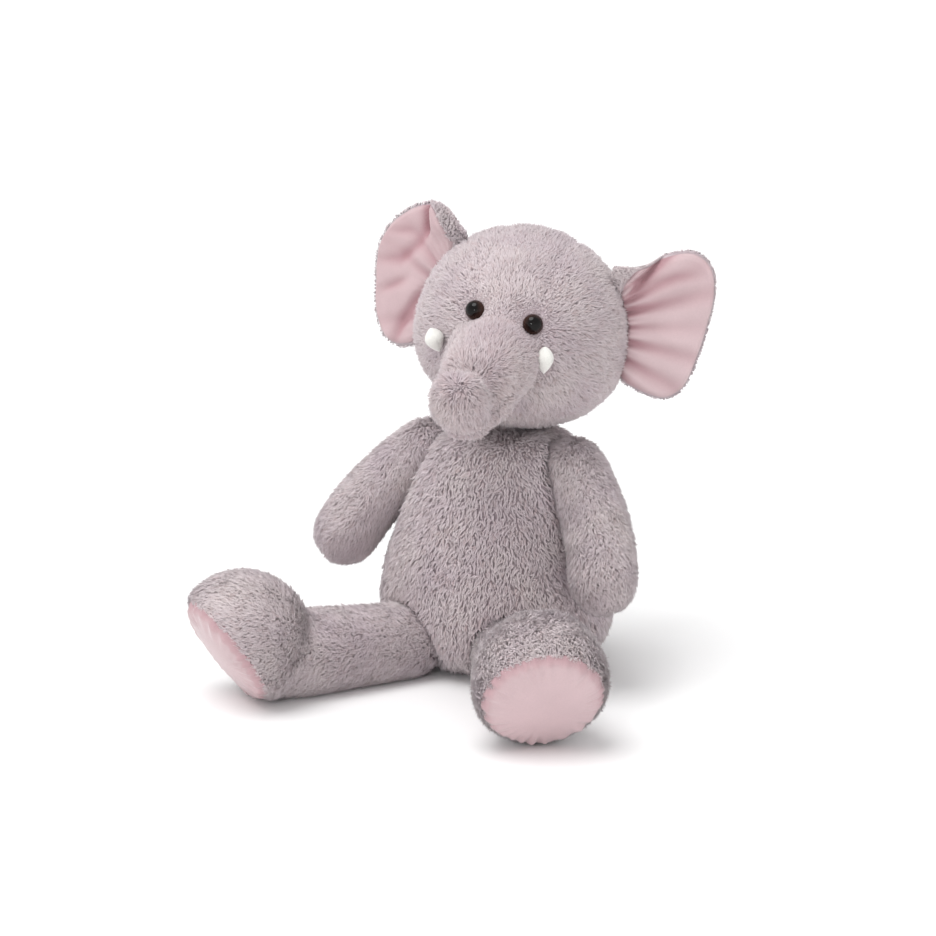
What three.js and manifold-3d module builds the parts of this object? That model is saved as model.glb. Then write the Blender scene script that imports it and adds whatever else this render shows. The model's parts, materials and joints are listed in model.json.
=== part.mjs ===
// A seated plush elephant, as a three.js scene graph.
// Millimetres, +Z up. The elephant faces -Y and its own left side is +X.
// The floor is z = 0 and the origin is the middle of the flat seat.
// Every fur panel is an open shell over a solid core of filling, as on the sewn toy.

import * as THREE from 'three';
import { ParametricGeometry } from 'three/addons/geometries/ParametricGeometry.js';
import { mergeVertices } from 'three/addons/utils/BufferGeometryUtils.js';
import Module from 'manifold-3d';

const wasm = await Module();
wasm.setup();

// ---------------------------------------------------------------- driving dimensions

const SKIN = 5; // plush fabric: woven backing and the pile pressed against it
const GAP = 0.5; // clearance between neighbouring pieces
const LIMB_GAP = 4; // clearance round a limb that swings
const CORE = SKIN + GAP; // how far the filling lies below the outer surface
const SATIN = 3; // satin lining with its thin wadding
const WELD = 1e-3; // corners nearer than this are one corner
const FAR = 1200; // wider than the whole toy

const TORSO_HEIGHT = 232;
const TORSO_DEPTH_RATIO = 0.88; // front-to-back size over side-to-side size
const TORSO_LEAN = new THREE.Vector2(13, -7); // how far the top sits off the seat's middle
const SEAT_RADIUS = 64;
const BAG_MIDDLE = new THREE.Vector3(0, 22, 30); // pellet bag over the back of the seat
const BAG_RADII = new THREE.Vector3(50, 44, 24);
const BAG_MOUTH_RADIUS = 20;

const NECK_PIVOT = new THREE.Vector3(13, -7, 246);
const NECK_RADIUS = 26;
const NECK_PEG_RADIUS = 20;
const NECK_PEG_LENGTH = 44;
const NECK_GAP = 1.5;

const HEAD_RADII = new THREE.Vector3(97, 89, 92);
const HEAD_RISE = 84; // neck pivot up to the middle of the head
const HEAD_YAW = 10;
const HEAD_ROLL = 11;
const HEAD_PITCH = 0;
const GUSSET_HALF = 30; // half width of the strip over the crown
const GUSSET_START = 12; // its lower edge, up from the middle of the head

const EYE_RADIUS = 9;
const EYE_DOME = 6.5; // how far it stands off the head
const EYE_BACK = 2.5; // how deep its rim sinks in
const EYE_SHANK_RADIUS = 2.4;
const EYE_SHANK_LENGTH = 13;
const EYE_AZIMUTH = 17;
const EYE_ELEVATION = 13.5;
const WASHER_RADIUS = 8;
const WASHER_CLEARANCE = 3; // from the inside of the fur cloth
const WASHER_THICKNESS = 2;
const EYE_HOLE_CLEARANCE = 0.4;

const TUSK_AZIMUTH = { left: 30, right: 30 };
const TUSK_ELEVATION = { left: -13, right: -14 };
const TUSK_LENGTH = 29;
const TUSK_RADIUS = 7.5;
const TUSK_LEAN = { left: [-0.2, -0.4, 0.9], right: [-0.75, -0.35, 0.5] }; // the right one flops out

const EAR_SWEEP = { left: 20, right: 25 };
const EAR_RISE = { left: 6, right: 0 }; // the right ear is sewn a little lower
const EAR_MIDDLE = new THREE.Vector2(36, 25);
const EAR_HALF = new THREE.Vector2(34, 70); // half its width and height
// The ear's root, which follows the head, then each ear's edge from the root's foot round to its
// folded top: [out from the pivot, up].
const EAR_ROOT = [[4, -30], [4, 16], [-1, 31], [-9, 45], [-16, 57]];
const EAR_EDGE = {
  left: [[10, -38], [26, -43], [44, -45], [57, -38], [64, -24], [70, 8], [72, 56],
    [66, 82], [55, 93], [43, 96], [30, 92], [16, 82], [-2, 72], [-18, 70]],
  right: [[10, -44], [28, -50], [43, -45], [53, -35], [60, -16], [64, 6], [68, 28],
    [65, 47], [55, 67], [41, 80], [24, 90], [6, 94], [-12, 92], [-34, 76]],
};

const SHOULDER = new THREE.Vector3(76, -6, 200); // measured from the leaning torso's middle
const SHOULDER_RISE = { left: 0, right: 6 }; // the right arm is sewn a little higher
const ARM_REACH = 114; // shoulder pivot to the middle of the rounded paw
const ARM_BOW = 14; // how far the arm bows outward on its way down
const ARM_RADIUS = 30;
const PAW_RADIUS = 31;
const ARM_SPLAY = { left: 27, right: 37 }; // outward lean from hanging straight down
const ARM_FORWARD = { left: 29, right: 27 };

const HIP = new THREE.Vector3(54, -80, 33);
const LEG_SPLAY = 34;
const LEG_SWING = 25; // largest lift or drop that the torso leaves room for
const LEG_LENGTH = 158; // hip pivot to the heel edge of the sole
const ANKLE_RISE = 5; // how far the ankle's middle lies above the hip's
const ANKLE_REACH = 118; // hip pivot to the middle of the foot's root
const HIP_RADIUS = 34;
const ANKLE_RADIUS = 39;
const SOLE_TILT = 32; // the toe edge leans outward by this angle
const FOOT_RADII = new THREE.Vector3(56.5, 61, 62);
const FOOT_RISE = 60; // floor to the middle of the foot
const FOOT_FORWARD = 12; // the foot's middle, past the heel edge of the sole

const TAIL_PIVOT = new THREE.Vector3(0, 108, 84);
const TAIL_LENGTH = 62;
const TAIL_RADIUS = 6;
const TAIL_TUFT_RADII = new THREE.Vector3(8, 8, 14);

// ---------------------------------------------------------------- materials

function cloth(colour, roughness) {
  return new THREE.MeshStandardMaterial({ color: colour, roughness, metalness: 0 });
}

const FUR = 0xb0a5aa;
const PINK = 0xd9b9be;
const FELT = 0xe8e6e2;
const FILLING = 0xf2f0ea;

const furCloth = () => cloth(FUR, 0.95);
const pinkSatin = () => cloth(PINK, 0.5);
const whiteFelt = () => cloth(FELT, 0.9);
const polyesterFilling = () => cloth(FILLING, 1);
const eyePlastic = () => cloth(0x1a1212, 0.12);
const washerPlastic = () => cloth(0xe4e2dc, 0.4);
const bagCloth = () => cloth(0xcfc8b8, 0.9);

// ---------------------------------------------------------------- solids

/** The closed solid inside a geometry's surface. */
function solidOf(geometry) {
  const bare = geometry.clone();
  bare.deleteAttribute('normal');
  bare.deleteAttribute('uv');
  const merged = mergeVertices(bare, WELD);
  const corners = merged.index.array;
  const kept = [];
  for (let i = 0; i < corners.length; i += 3) {
    const [a, b, c] = [corners[i], corners[i + 1], corners[i + 2]];
    if (a !== b && b !== c && c !== a) kept.push(a, b, c);
  }
  const mesh = new wasm.Mesh({
    numProp: 3,
    vertProperties: Float32Array.from(merged.attributes.position.array),
    triVerts: Uint32Array.from(kept),
  });
  return new wasm.Manifold(mesh);
}

/** A geometry that shows a solid's surface. */
function geometryOf(solid) {
  const { vertProperties, triVerts } = solid.getMesh();
  const geometry = new THREE.BufferGeometry();
  geometry.setAttribute('position', new THREE.BufferAttribute(vertProperties, 3));
  geometry.setIndex(new THREE.BufferAttribute(triVerts, 1));
  geometry.computeVertexNormals();
  return geometry;
}

function piece(name, solid, material) {
  const mesh = new THREE.Mesh(geometryOf(solid), material);
  mesh.name = name;
  return mesh;
}

/** Everything on the side of a plane that its normal points to. */
function halfSpace(normal, point) {
  const box = new THREE.BoxGeometry(FAR, FAR, FAR);
  box.translate(0, 0, FAR / 2);
  const turn = new THREE.Quaternion().setFromUnitVectors(
    new THREE.Vector3(0, 0, 1), normal.clone().normalize());
  box.applyQuaternion(turn);
  box.translate(point.x, point.y, point.z);
  return solidOf(box);
}

function ball(centre, radius, sides = 20) {
  const sphere = new THREE.SphereGeometry(radius, sides, sides / 2);
  sphere.translate(centre.x, centre.y, centre.z);
  return solidOf(sphere);
}

function ellipsoid(centre, radii, inset, sides) {
  const sphere = new THREE.SphereGeometry(1, sides, Math.round(sides * 0.6));
  sphere.rotateX(Math.PI / 2);
  sphere.scale(radii.x - inset, radii.y - inset, radii.z - inset);
  sphere.translate(centre.x, centre.y, centre.z);
  return solidOf(sphere);
}

/** A closed solid through a list of equal closed rings, each a list of points. */
function throughRings(rings) {
  const sides = rings[0].length;
  const last = rings.length - 1;
  const place = (u, v, target) => {
    const ring = rings[Math.round(v * last)];
    target.copy(ring[Math.round(u * sides) % sides]);
  };
  const solid = solidOf(new ParametricGeometry(place, sides, last));
  if (solid.volume() > 0) return solid;
  return solidOf(new ParametricGeometry((u, v, target) => place(1 - u, v, target), sides, last));
}

/**
 * A stuffed tube along a flat curve, with a ball at its start and a rounded end.
 * width(t) gives its half widths [across the curve's plane, in the curve's plane].
 */
function stuffedTube(curve, across, width, { inset = 0, sides = 20, steps = 8, capSteps = 4 } = {}) {
  const rings = [];
  const addRing = (t, slide, shrink) => {
    const tangent = curve.getTangent(t);
    const centre = curve.getPoint(t).addScaledVector(tangent, slide);
    const side = new THREE.Vector3().crossVectors(tangent, across).normalize();
    const [wide, deep] = width(t).map((half) => (half - inset) * shrink);
    const ring = [];
    for (let i = 0; i < sides; i += 1) {
      const angle = (i / sides) * 2 * Math.PI;
      ring.push(centre.clone()
        .addScaledVector(across, wide * Math.cos(angle))
        .addScaledVector(side, deep * Math.sin(angle)));
    }
    rings.push(ring);
  };
  const capLength = (t) => Math.max(...width(t)) - inset;
  for (let i = 0; i < capSteps; i += 1) {
    const angle = (i / capSteps) * (Math.PI / 2);
    addRing(0, -capLength(0) * Math.cos(angle), Math.sin(angle));
  }
  for (let i = 0; i <= steps; i += 1) addRing(i / steps, 0, 1);
  for (let i = 1; i <= capSteps; i += 1) {
    const angle = (i / capSteps) * (Math.PI / 2);
    addRing(1, capLength(1) * Math.sin(angle), Math.cos(angle));
  }
  return throughRings(rings);
}

const X_AXIS = new THREE.Vector3(1, 0, 0);
const Y_AXIS = new THREE.Vector3(0, 1, 0);
const Z_AXIS = new THREE.Vector3(0, 0, 1);
const ORIGIN = new THREE.Vector3(0, 0, 0);
const degrees = THREE.MathUtils.degToRad;
const SIDES = [[1, 'left'], [-1, 'right']];

/** The two sides of a shell, either side of the plane x = 0, a seam's width apart. */
function splitAtSeam(shell, normal = X_AXIS, point = ORIGIN) {
  const edge = normal.clone().multiplyScalar(GAP / 2);
  return {
    plus: shell.intersect(halfSpace(normal, point.clone().add(edge))),
    minus: shell.intersect(halfSpace(normal.clone().negate(), point.clone().sub(edge))),
  };
}

// ---------------------------------------------------------------- limbs, each about its own pivot

/** The arm hangs down -Z from the shoulder and bows outward, to the side given. */
function armSolid(side, inset, detail) {
  const curve = new THREE.QuadraticBezierCurve3(
    ORIGIN,
    new THREE.Vector3(side * ARM_BOW, 0, -ARM_REACH * 0.55),
    new THREE.Vector3(0, 0, -ARM_REACH));
  const width = (t) => {
    const half = ARM_RADIUS + (PAW_RADIUS - ARM_RADIUS) * t;
    return [half, half - 2];
  };
  return stuffedTube(curve, Y_AXIS, width, { inset, ...detail });
}

function legWidth(t) {
  const half = HIP_RADIUS + (ANKLE_RADIUS - HIP_RADIUS) * t;
  return [half, half];
}

/** The leg reaches along -Y from the hip, and its foot stands up at the end. */
function legSolid(inset, sides, steps) {
  const curve = new THREE.LineCurve3(ORIGIN, new THREE.Vector3(0, -ANKLE_REACH, ANKLE_RISE));
  const tube = stuffedTube(curve, X_AXIS, legWidth, { inset, sides, steps });
  const foot = new THREE.SphereGeometry(1, sides, Math.round(sides * 0.6));
  foot.scale(FOOT_RADII.x - inset, FOOT_RADII.y - inset, FOOT_RADII.z - inset);
  foot.rotateX(degrees(-SOLE_TILT));
  foot.translate(0, -LEG_LENGTH - FOOT_FORWARD, FOOT_RISE - HIP.z);
  const floor = new THREE.Vector3(0, 0, -HIP.z + inset);
  return tube.add(solidOf(foot)).intersect(halfSpace(Z_AXIS, floor));
}

function solePlane(depth) {
  const tilt = degrees(SOLE_TILT);
  const outward = new THREE.Vector3(0, -Math.cos(tilt), -Math.sin(tilt));
  const edge = new THREE.Vector3(0, -LEG_LENGTH, -HIP.z);
  return { outward, point: edge.addScaledVector(outward, -depth) };
}

function behindSole(depth) {
  const { outward, point } = solePlane(depth);
  return halfSpace(outward.clone().negate(), point);
}

// ---------------------------------------------------------------- torso

/** The pear-shaped body before the limbs press into it. */
function pearSolid(inset, sides, steps) {
  const outline = new THREE.SplineCurve([
    new THREE.Vector2(SEAT_RADIUS, 0),
    new THREE.Vector2(103, 24),
    new THREE.Vector2(113, 62),
    new THREE.Vector2(102, 130),
    new THREE.Vector2(86, 184),
    new THREE.Vector2(67, 222),
    new THREE.Vector2(40, TORSO_HEIGHT),
  ]);
  const profile = [new THREE.Vector2(0, inset)];
  for (let i = 0; i <= steps; i += 1) {
    const point = outline.getPoint(i / steps);
    profile.push(new THREE.Vector2(
      point.x - inset, THREE.MathUtils.clamp(point.y, inset, TORSO_HEIGHT - inset)));
  }
  profile.push(new THREE.Vector2(0, TORSO_HEIGHT - inset));
  const pear = new THREE.LatheGeometry(profile, sides);
  pear.rotateX(Math.PI / 2);
  pear.scale(1, TORSO_DEPTH_RATIO, 1);
  const places = pear.attributes.position;
  for (let i = 0; i < places.count; i += 1) {
    const lean = torsoMiddle(places.getZ(i));
    places.setXY(i, places.getX(i) + lean.x, places.getY(i) + lean.y);
  }
  return solidOf(pear);
}

/** The middle of the torso at a height: it leans more towards the top. */
function torsoMiddle(height) {
  const share = Math.max(height, 0) / TORSO_HEIGHT;
  return new THREE.Vector3(TORSO_LEAN.x * share ** 2, TORSO_LEAN.y * share ** 2, height);
}

function shoulderPlace(side, word) {
  const height = SHOULDER.z + SHOULDER_RISE[word];
  const middle = torsoMiddle(height);
  return new THREE.Vector3(middle.x + side * SHOULDER.x, middle.y + SHOULDER.y, height);
}

function hipPlace(side) {
  return new THREE.Vector3(side * HIP.x, HIP.y, HIP.z);
}

/** The room that a leg needs in the torso over its swing: a ball, and a funnel taller than wide. */
function legRoom(side, grow) {
  const reach = 80;
  const along = new THREE.LineCurve3(ORIGIN, new THREE.Vector3(0, -reach, 0));
  const spread = reach * Math.tan(degrees(LEG_SWING));
  const width = (t) => {
    const half = legWidth(t * reach / ANKLE_REACH)[0] + grow;
    return [half + 0.2 * spread * t, half + spread * t];
  };
  const room = stuffedTube(along, X_AXIS, width, { sides: 16, steps: 1, capSteps: 3 });
  const hip = hipPlace(side);
  return room.rotate([0, 0, side * LEG_SPLAY]).translate([hip.x, hip.y, hip.z]);
}

/** The room that an arm sweeps beside the torso: a ball and a wide cone round the shoulder's axis. */
function armRoom(side, word, grow) {
  const splay = degrees(ARM_SPLAY[word]);
  const half = PAW_RADIUS + grow;
  const profile = [[0, -half]];
  for (let i = 1; i <= 4; i += 1) {
    const angle = (i / 4) * (Math.PI / 2 - splay);
    profile.push([half * Math.sin(angle), -half * Math.cos(angle)]);
  }
  const [edge, back] = profile[profile.length - 1];
  const reach = 150;
  profile.push([edge + reach, back + reach * Math.tan(splay)], [edge + reach, reach], [0, reach]);
  const dish = lathe(profile, 16).rotateY(side * Math.PI / 2);
  const shoulder = shoulderPlace(side, word);
  return solidOf(dish.translate(shoulder.x, shoulder.y, shoulder.z));
}

/** The torso with the limbs' rooms taken out, drawn in by the given inset. */
function torsoSolid(inset, sides, steps) {
  return SIDES.reduce((solid, [side, word]) => solid
    .subtract(legRoom(side, inset + LIMB_GAP))
    .subtract(armRoom(side, word, inset + LIMB_GAP)), pearSolid(inset, sides, steps));
}

function torso() {
  const group = new THREE.Group();
  const neckHole = ball(NECK_PIVOT, NECK_RADIUS + NECK_GAP, 16)
    .add(neckPeg(NECK_PEG_RADIUS + NECK_GAP));
  const shell = torsoSolid(0, 26, 10).subtract(torsoSolid(SKIN, 16, 7)).subtract(neckHole);
  const seatSeam = (offset) => new THREE.Vector3(0, 0, SKIN + offset);
  const { plus, minus } = splitAtSeam(shell.intersect(halfSpace(Z_AXIS, seatSeam(GAP / 2))));
  group.add(piece('torso_left_panel', plus, furCloth()));
  group.add(piece('torso_right_panel', minus, furCloth()));
  const seat = torsoSolid(0, 26, 10)
    .intersect(halfSpace(Z_AXIS.clone().negate(), seatSeam(-GAP / 2)));
  group.add(piece('torso_seat_panel', seat, furCloth()));

  const bagMouth = new THREE.CylinderGeometry(
    BAG_MOUTH_RADIUS, BAG_MOUTH_RADIUS, BAG_MIDDLE.z, 12).rotateX(Math.PI / 2);
  bagMouth.translate(BAG_MIDDLE.x, BAG_MIDDLE.y, BAG_MIDDLE.z / 2);
  const bagRoom = ellipsoid(BAG_MIDDLE, BAG_RADII, -GAP, 16).add(solidOf(bagMouth));
  const core = torsoSolid(CORE, 16, 7).subtract(neckHole).subtract(bagRoom);
  group.add(piece('torso_filling', core, polyesterFilling()));
  group.add(piece('seat_pellet_bag', ellipsoid(BAG_MIDDLE, BAG_RADII, 0, 16), bagCloth()));
  return group;
}

// ---------------------------------------------------------------- neck

/** The straight lower part of the neck stuffing, which turns in the torso. */
function neckPeg(radius) {
  const peg = new THREE.CylinderGeometry(radius, radius, NECK_PEG_LENGTH, 16);
  peg.rotateX(Math.PI / 2);
  peg.translate(NECK_PIVOT.x, NECK_PIVOT.y, NECK_PIVOT.z - NECK_PEG_LENGTH / 2);
  return solidOf(peg);
}

function neck() {
  const stuffing = ball(NECK_PIVOT, NECK_RADIUS, 16).add(neckPeg(NECK_PEG_RADIUS));
  return piece('neck_filling', stuffing, polyesterFilling());
}

// ---------------------------------------------------------------- head, about the neck pivot

const HEAD_MIDDLE = new THREE.Vector3(0, 0, HEAD_RISE);

function headSolid(inset, sides) {
  return ellipsoid(HEAD_MIDDLE, HEAD_RADII, inset, sides);
}

/** A point on the head, from an angle round from the face and one up from its middle. */
function onHead(azimuth, elevation, out = 0) {
  const turn = degrees(azimuth);
  const up = degrees(elevation);
  const direction = new THREE.Vector3(
    Math.sin(turn) * Math.cos(up), -Math.cos(turn) * Math.cos(up), Math.sin(up));
  const onSphere = direction.clone().multiply(HEAD_RADII);
  const normal = direction.clone().divide(HEAD_RADII).normalize();
  return { point: onSphere.add(HEAD_MIDDLE).addScaledVector(normal, out), normal };
}

/** A turned solid whose own +Z is laid along a direction, from a point. */
function alongNormal(geometry, point, normal) {
  geometry.applyQuaternion(new THREE.Quaternion().setFromUnitVectors(Z_AXIS, normal));
  geometry.translate(point.x, point.y, point.z);
  return solidOf(geometry);
}

function lathe(points, sides) {
  const turned = new THREE.LatheGeometry(points.map(([r, z]) => new THREE.Vector2(r, z)), sides);
  return turned.rotateX(Math.PI / 2);
}

/** A safety eye: a dome with a shank behind it. grow makes the hole that it needs. */
function eyeSolid(side, grow) {
  const { point, normal } = onHead(side * EYE_AZIMUTH, EYE_ELEVATION);
  const radius = EYE_RADIUS + grow;
  const shank = EYE_SHANK_RADIUS + grow;
  const end = -EYE_SHANK_LENGTH - grow;
  const back = -EYE_BACK - grow;
  const dome = [[0, end], [shank, end], [shank, back], [radius, back]];
  for (let i = 0; i <= 5; i += 1) {
    const angle = (i / 5) * (Math.PI / 2);
    dome.push([radius * Math.cos(angle), (EYE_DOME + grow) * Math.sin(angle)]);
  }
  dome[dome.length - 1][0] = 0;
  return alongNormal(lathe(dome, 20), point, normal);
}

/** The locking washer behind the fabric, a ring on the shank. */
function washerSolid(side, grow) {
  const { point, normal } = onHead(side * EYE_AZIMUTH, EYE_ELEVATION);
  const near = -SKIN - WASHER_CLEARANCE + grow;
  const far = -SKIN - WASHER_CLEARANCE - WASHER_THICKNESS - grow;
  const hole = EYE_SHANK_RADIUS + GAP - grow;
  const rim = WASHER_RADIUS + grow;
  const ring = [[hole, far], [rim, far], [rim, near], [hole, near], [hole, far]];
  return alongNormal(lathe(ring, 18), point, normal);
}

/** A little felt tusk: a stuffed teardrop that stands off the cheek beside the trunk. */
function tuskSolid(side, word) {
  const root = onHead(side * TUSK_AZIMUTH[word], TUSK_ELEVATION[word], 1);
  const direction = new THREE.Vector3(...TUSK_LEAN[word]).normalize();
  const drop = [[0, 0]];
  for (let i = 1; i < 9; i += 1) {
    const share = i / 9;
    drop.push([TUSK_RADIUS * Math.sin(Math.PI * share ** 0.75) ** 0.8, TUSK_LENGTH * share]);
  }
  drop.push([0, TUSK_LENGTH]);
  return alongNormal(lathe(drop, 16), root.point, direction);
}

// The trunk's centre line in the head's middle plane: [forward of the head's middle, up from it].
const TRUNK_ROOT = [[52, -10], [94, -17], [128, -37]];
const TRUNK_ELBOW = [151, -52];
const TRUNK_TIP = [[169, -51], [182, -33]];
const TRUNK_TIP_RADIUS = 22.5;
const TRUNK_FACE = 16; // the flat end of the tip, past the end of its centre line
const TRUNK_HALF_WIDTH = [43.5, 38.5]; // at its root, [across, up]
const TRUNK_TAPER = [14.5, 10.5]; // how much narrower each half is at the elbow
const TRUNK_MOUTH_INSET = SKIN + 3; // the opening in the head cloth, inside the trunk's surface
const TRUNK_CURL = { up: -8, down: 45 }; // how far the tip curls from rest

function inTrunkPlane([forward, up]) {
  return new THREE.Vector3(0, -forward, HEAD_RISE + up);
}

/** The thick upper trunk, from inside the face down to the elbow. */
function upperTrunkSolid(inset, sides, steps) {
  const curve = new THREE.CatmullRomCurve3([...TRUNK_ROOT, TRUNK_ELBOW].map(inTrunkPlane));
  const width = (t) => TRUNK_HALF_WIDTH.map((half, i) => half - TRUNK_TAPER[i] * t ** 1.3);
  return stuffedTube(curve, X_AXIS, width, { inset, sides, steps });
}

/** The upturned end of the trunk, about a ball at the elbow. */
function trunkTipSolid(inset, sides, steps) {
  const curve = new THREE.QuadraticBezierCurve3(...[TRUNK_ELBOW, ...TRUNK_TIP].map(inTrunkPlane));
  const width = (t) => [TRUNK_TIP_RADIUS - t, TRUNK_TIP_RADIUS - t];
  return stuffedTube(curve, X_AXIS, width, { inset, sides, steps });
}

/** The space behind the elbow, which the turning tip never enters. */
function behindElbow() {
  const elbow = inTrunkPlane(TRUNK_ELBOW);
  const start = inTrunkPlane(TRUNK_TIP[0]).sub(elbow).normalize();
  return Object.values(TRUNK_CURL)
    .map((angle) => start.clone().applyAxisAngle(X_AXIS, degrees(angle)))
    .map((outward) => halfSpace(outward.negate(), elbow.clone().addScaledVector(outward, 1)))
    .reduce((a, b) => a.intersect(b));
}

function head() {
  const group = new THREE.Group();
  const elbowPlace = inTrunkPlane(TRUNK_ELBOW);
  const features = [1, -1].map((side) => eyeSolid(side, EYE_HOLE_CLEARANCE)).reduce((a, b) => a.add(b));
  const neckRoom = ball(ORIGIN, NECK_RADIUS + NECK_GAP, 16);
  const shell = headSolid(0, 26).subtract(headSolid(SKIN, 18))
    .subtract(features).subtract(neckRoom);
  const trunkOpening = upperTrunkSolid(TRUNK_MOUTH_INSET, 16, 6);
  const openShell = shell.subtract(trunkOpening);
  const gussetBand = halfSpace(X_AXIS, new THREE.Vector3(-GUSSET_HALF, 0, 0))
    .intersect(halfSpace(X_AXIS.clone().negate(), new THREE.Vector3(GUSSET_HALF, 0, 0)))
    .intersect(halfSpace(Z_AXIS, new THREE.Vector3(0, 0, HEAD_RISE + GUSSET_START)));
  const grownBand = halfSpace(X_AXIS, new THREE.Vector3(-GUSSET_HALF - GAP, 0, 0))
    .intersect(halfSpace(X_AXIS.clone().negate(), new THREE.Vector3(GUSSET_HALF + GAP, 0, 0)))
    .intersect(halfSpace(Z_AXIS, new THREE.Vector3(0, 0, HEAD_RISE + GUSSET_START - GAP)));
  const { plus, minus } = splitAtSeam(openShell.subtract(grownBand));
  group.add(piece('head_left_panel', plus, furCloth()));
  group.add(piece('head_right_panel', minus, furCloth()));
  group.add(piece('head_gusset', openShell.intersect(gussetBand), furCloth()));

  const washerRoom = [1, -1].map((side) => washerSolid(side, GAP).add(eyeSolid(side, GAP)))
    .reduce((a, b) => a.add(b));
  const core = headSolid(CORE, 18).subtract(washerRoom).subtract(neckRoom);
  group.add(piece('head_filling', core, polyesterFilling()));

  for (const [side, word] of SIDES) {
    group.add(piece(`eye_${word}`, eyeSolid(side, 0), eyePlastic()));
    group.add(piece(`eye_washer_${word}`, washerSolid(side, 0), washerPlastic()));
    group.add(piece(`tusk_${word}`, tuskSolid(side, word).subtract(headSolid(-1, 26))
      .subtract(upperTrunkSolid(-GAP, 20, 7)), whiteFelt()));
  }

  const elbowRoom = ball(elbowPlace, TRUNK_TIP_RADIUS + 1.5, 16);
  const outside = headSolid(-1, 26);
  const trunkShell = upperTrunkSolid(0, 20, 7).subtract(upperTrunkSolid(SKIN, 16, 6))
    .subtract(outside).subtract(elbowRoom).subtract(features).intersect(behindElbow());
  const underSeam = splitAtSeam(trunkShell, new THREE.Vector3(0, -0.5, 1), inTrunkPlane([92, -26]));
  group.add(piece('trunk_top_panel', underSeam.plus, furCloth()));
  group.add(piece('trunk_under_panel', underSeam.minus, furCloth()));
  group.add(piece('trunk_filling',
    upperTrunkSolid(CORE, 16, 6).subtract(outside).subtract(elbowRoom).subtract(features)
      .intersect(behindElbow()),
    polyesterFilling()));
  return group;
}

function trunkTip() {
  const group = new THREE.Group();
  const [before, end] = TRUNK_TIP.map(inTrunkPlane);
  const outward = end.clone().sub(before).normalize();
  const facePoint = end.clone().addScaledVector(outward, TRUNK_FACE);
  const behindFace = halfSpace(outward.clone().negate(), facePoint);
  const behindDisc = halfSpace(outward.clone().negate(),
    facePoint.clone().addScaledVector(outward, -SKIN - GAP));
  const inFrontOfDisc = halfSpace(outward, facePoint.clone().addScaledVector(outward, -SKIN));
  const outer = trunkTipSolid(0, 16, 4).intersect(behindFace);
  const shell = outer.subtract(trunkTipSolid(SKIN, 12, 3)).intersect(behindDisc);
  group.add(piece('trunk_tip_panel', shell, furCloth()));
  group.add(piece('trunk_tip_disc', outer.intersect(inFrontOfDisc), furCloth()));
  group.add(piece('trunk_tip_filling',
    trunkTipSolid(CORE, 12, 3).intersect(behindDisc), polyesterFilling()));
  return group;
}

// ---------------------------------------------------------------- ears, about the base line

/** The ear's outline, drawn in towards its middle by the inset: up its root, then round its edge. */
function earOutline(word, inset) {
  const edge = new THREE.SplineCurve(EAR_EDGE[word].map((place) => new THREE.Vector2(...place)));
  const root = EAR_ROOT.map((place) => new THREE.Vector2(...place));
  const outline = [...root, ...edge.getPoints(36).reverse()];
  const shrink = new THREE.Vector2(1 - inset / EAR_HALF.x, 1 - inset / EAR_HALF.y);
  return new THREE.Shape(outline.map(
    (place) => place.sub(EAR_MIDDLE).multiply(shrink).add(EAR_MIDDLE)));
}

/** One flat layer of the ear, of that thickness from its front face back. */
function earLayer(side, word, inset, front, thickness) {
  const flat = new THREE.ExtrudeGeometry(earOutline(word, inset), {
    depth: thickness, bevelEnabled: false,
  });
  flat.rotateX(Math.PI / 2);
  flat.translate(0, front + thickness, 0);
  const solid = solidOf(flat);
  return side > 0 ? solid : solid.mirror([1, 0, 0]);
}

function ear(side, word) {
  const group = new THREE.Group();
  group.add(piece(`ear_${word}_back`, earLayer(side, word, 0, 0, SKIN), furCloth()));
  group.add(piece(`ear_${word}_lining`, earLayer(side, word, 4, -SATIN - GAP, SATIN), pinkSatin()));
  return group;
}

// ---------------------------------------------------------------- arms, legs and tail

function arm(side, word) {
  const group = new THREE.Group();
  const outer = armSolid(side, 0, { sides: 18, steps: 6, capSteps: 3 });
  const shell = outer.subtract(armSolid(side, SKIN, { sides: 12, steps: 4, capSteps: 3 }));
  const { plus, minus } = splitAtSeam(shell);
  group.add(piece(`arm_${word}_outer_panel`, side > 0 ? plus : minus, furCloth()));
  group.add(piece(`arm_${word}_inner_panel`, side > 0 ? minus : plus, furCloth()));
  group.add(piece(`arm_${word}_filling`,
    armSolid(side, CORE, { sides: 12, steps: 4, capSteps: 3 }), polyesterFilling()));
  return group;
}

function leg(side, word) {
  const group = new THREE.Group();
  const shell = legSolid(0, 20, 3).subtract(legSolid(SKIN, 14, 2))
    .intersect(behindSole(SATIN + GAP));
  const { plus, minus } = splitAtSeam(shell);
  group.add(piece(`leg_${word}_outer_panel`, side > 0 ? plus : minus, furCloth()));
  group.add(piece(`leg_${word}_inner_panel`, side > 0 ? minus : plus, furCloth()));
  const { outward, point } = solePlane(SATIN);
  const sole = legSolid(SATIN, 20, 3).intersect(behindSole(0)).intersect(halfSpace(outward, point));
  group.add(piece(`leg_${word}_sole`, sole, pinkSatin()));
  group.add(piece(`leg_${word}_filling`,
    legSolid(CORE, 14, 2).intersect(behindSole(SATIN + GAP)), polyesterFilling()));
  return group;
}

/** The tail's cord, thicker all round by the given amount. */
function tailCord(grow) {
  const line = new THREE.LineCurve3(ORIGIN, new THREE.Vector3(0, 0, -TAIL_LENGTH + 16));
  const width = (t) => [TAIL_RADIUS - t + grow, TAIL_RADIUS - t + grow];
  return stuffedTube(line, X_AXIS, width, { sides: 12, steps: 3, capSteps: 3 });
}

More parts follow.
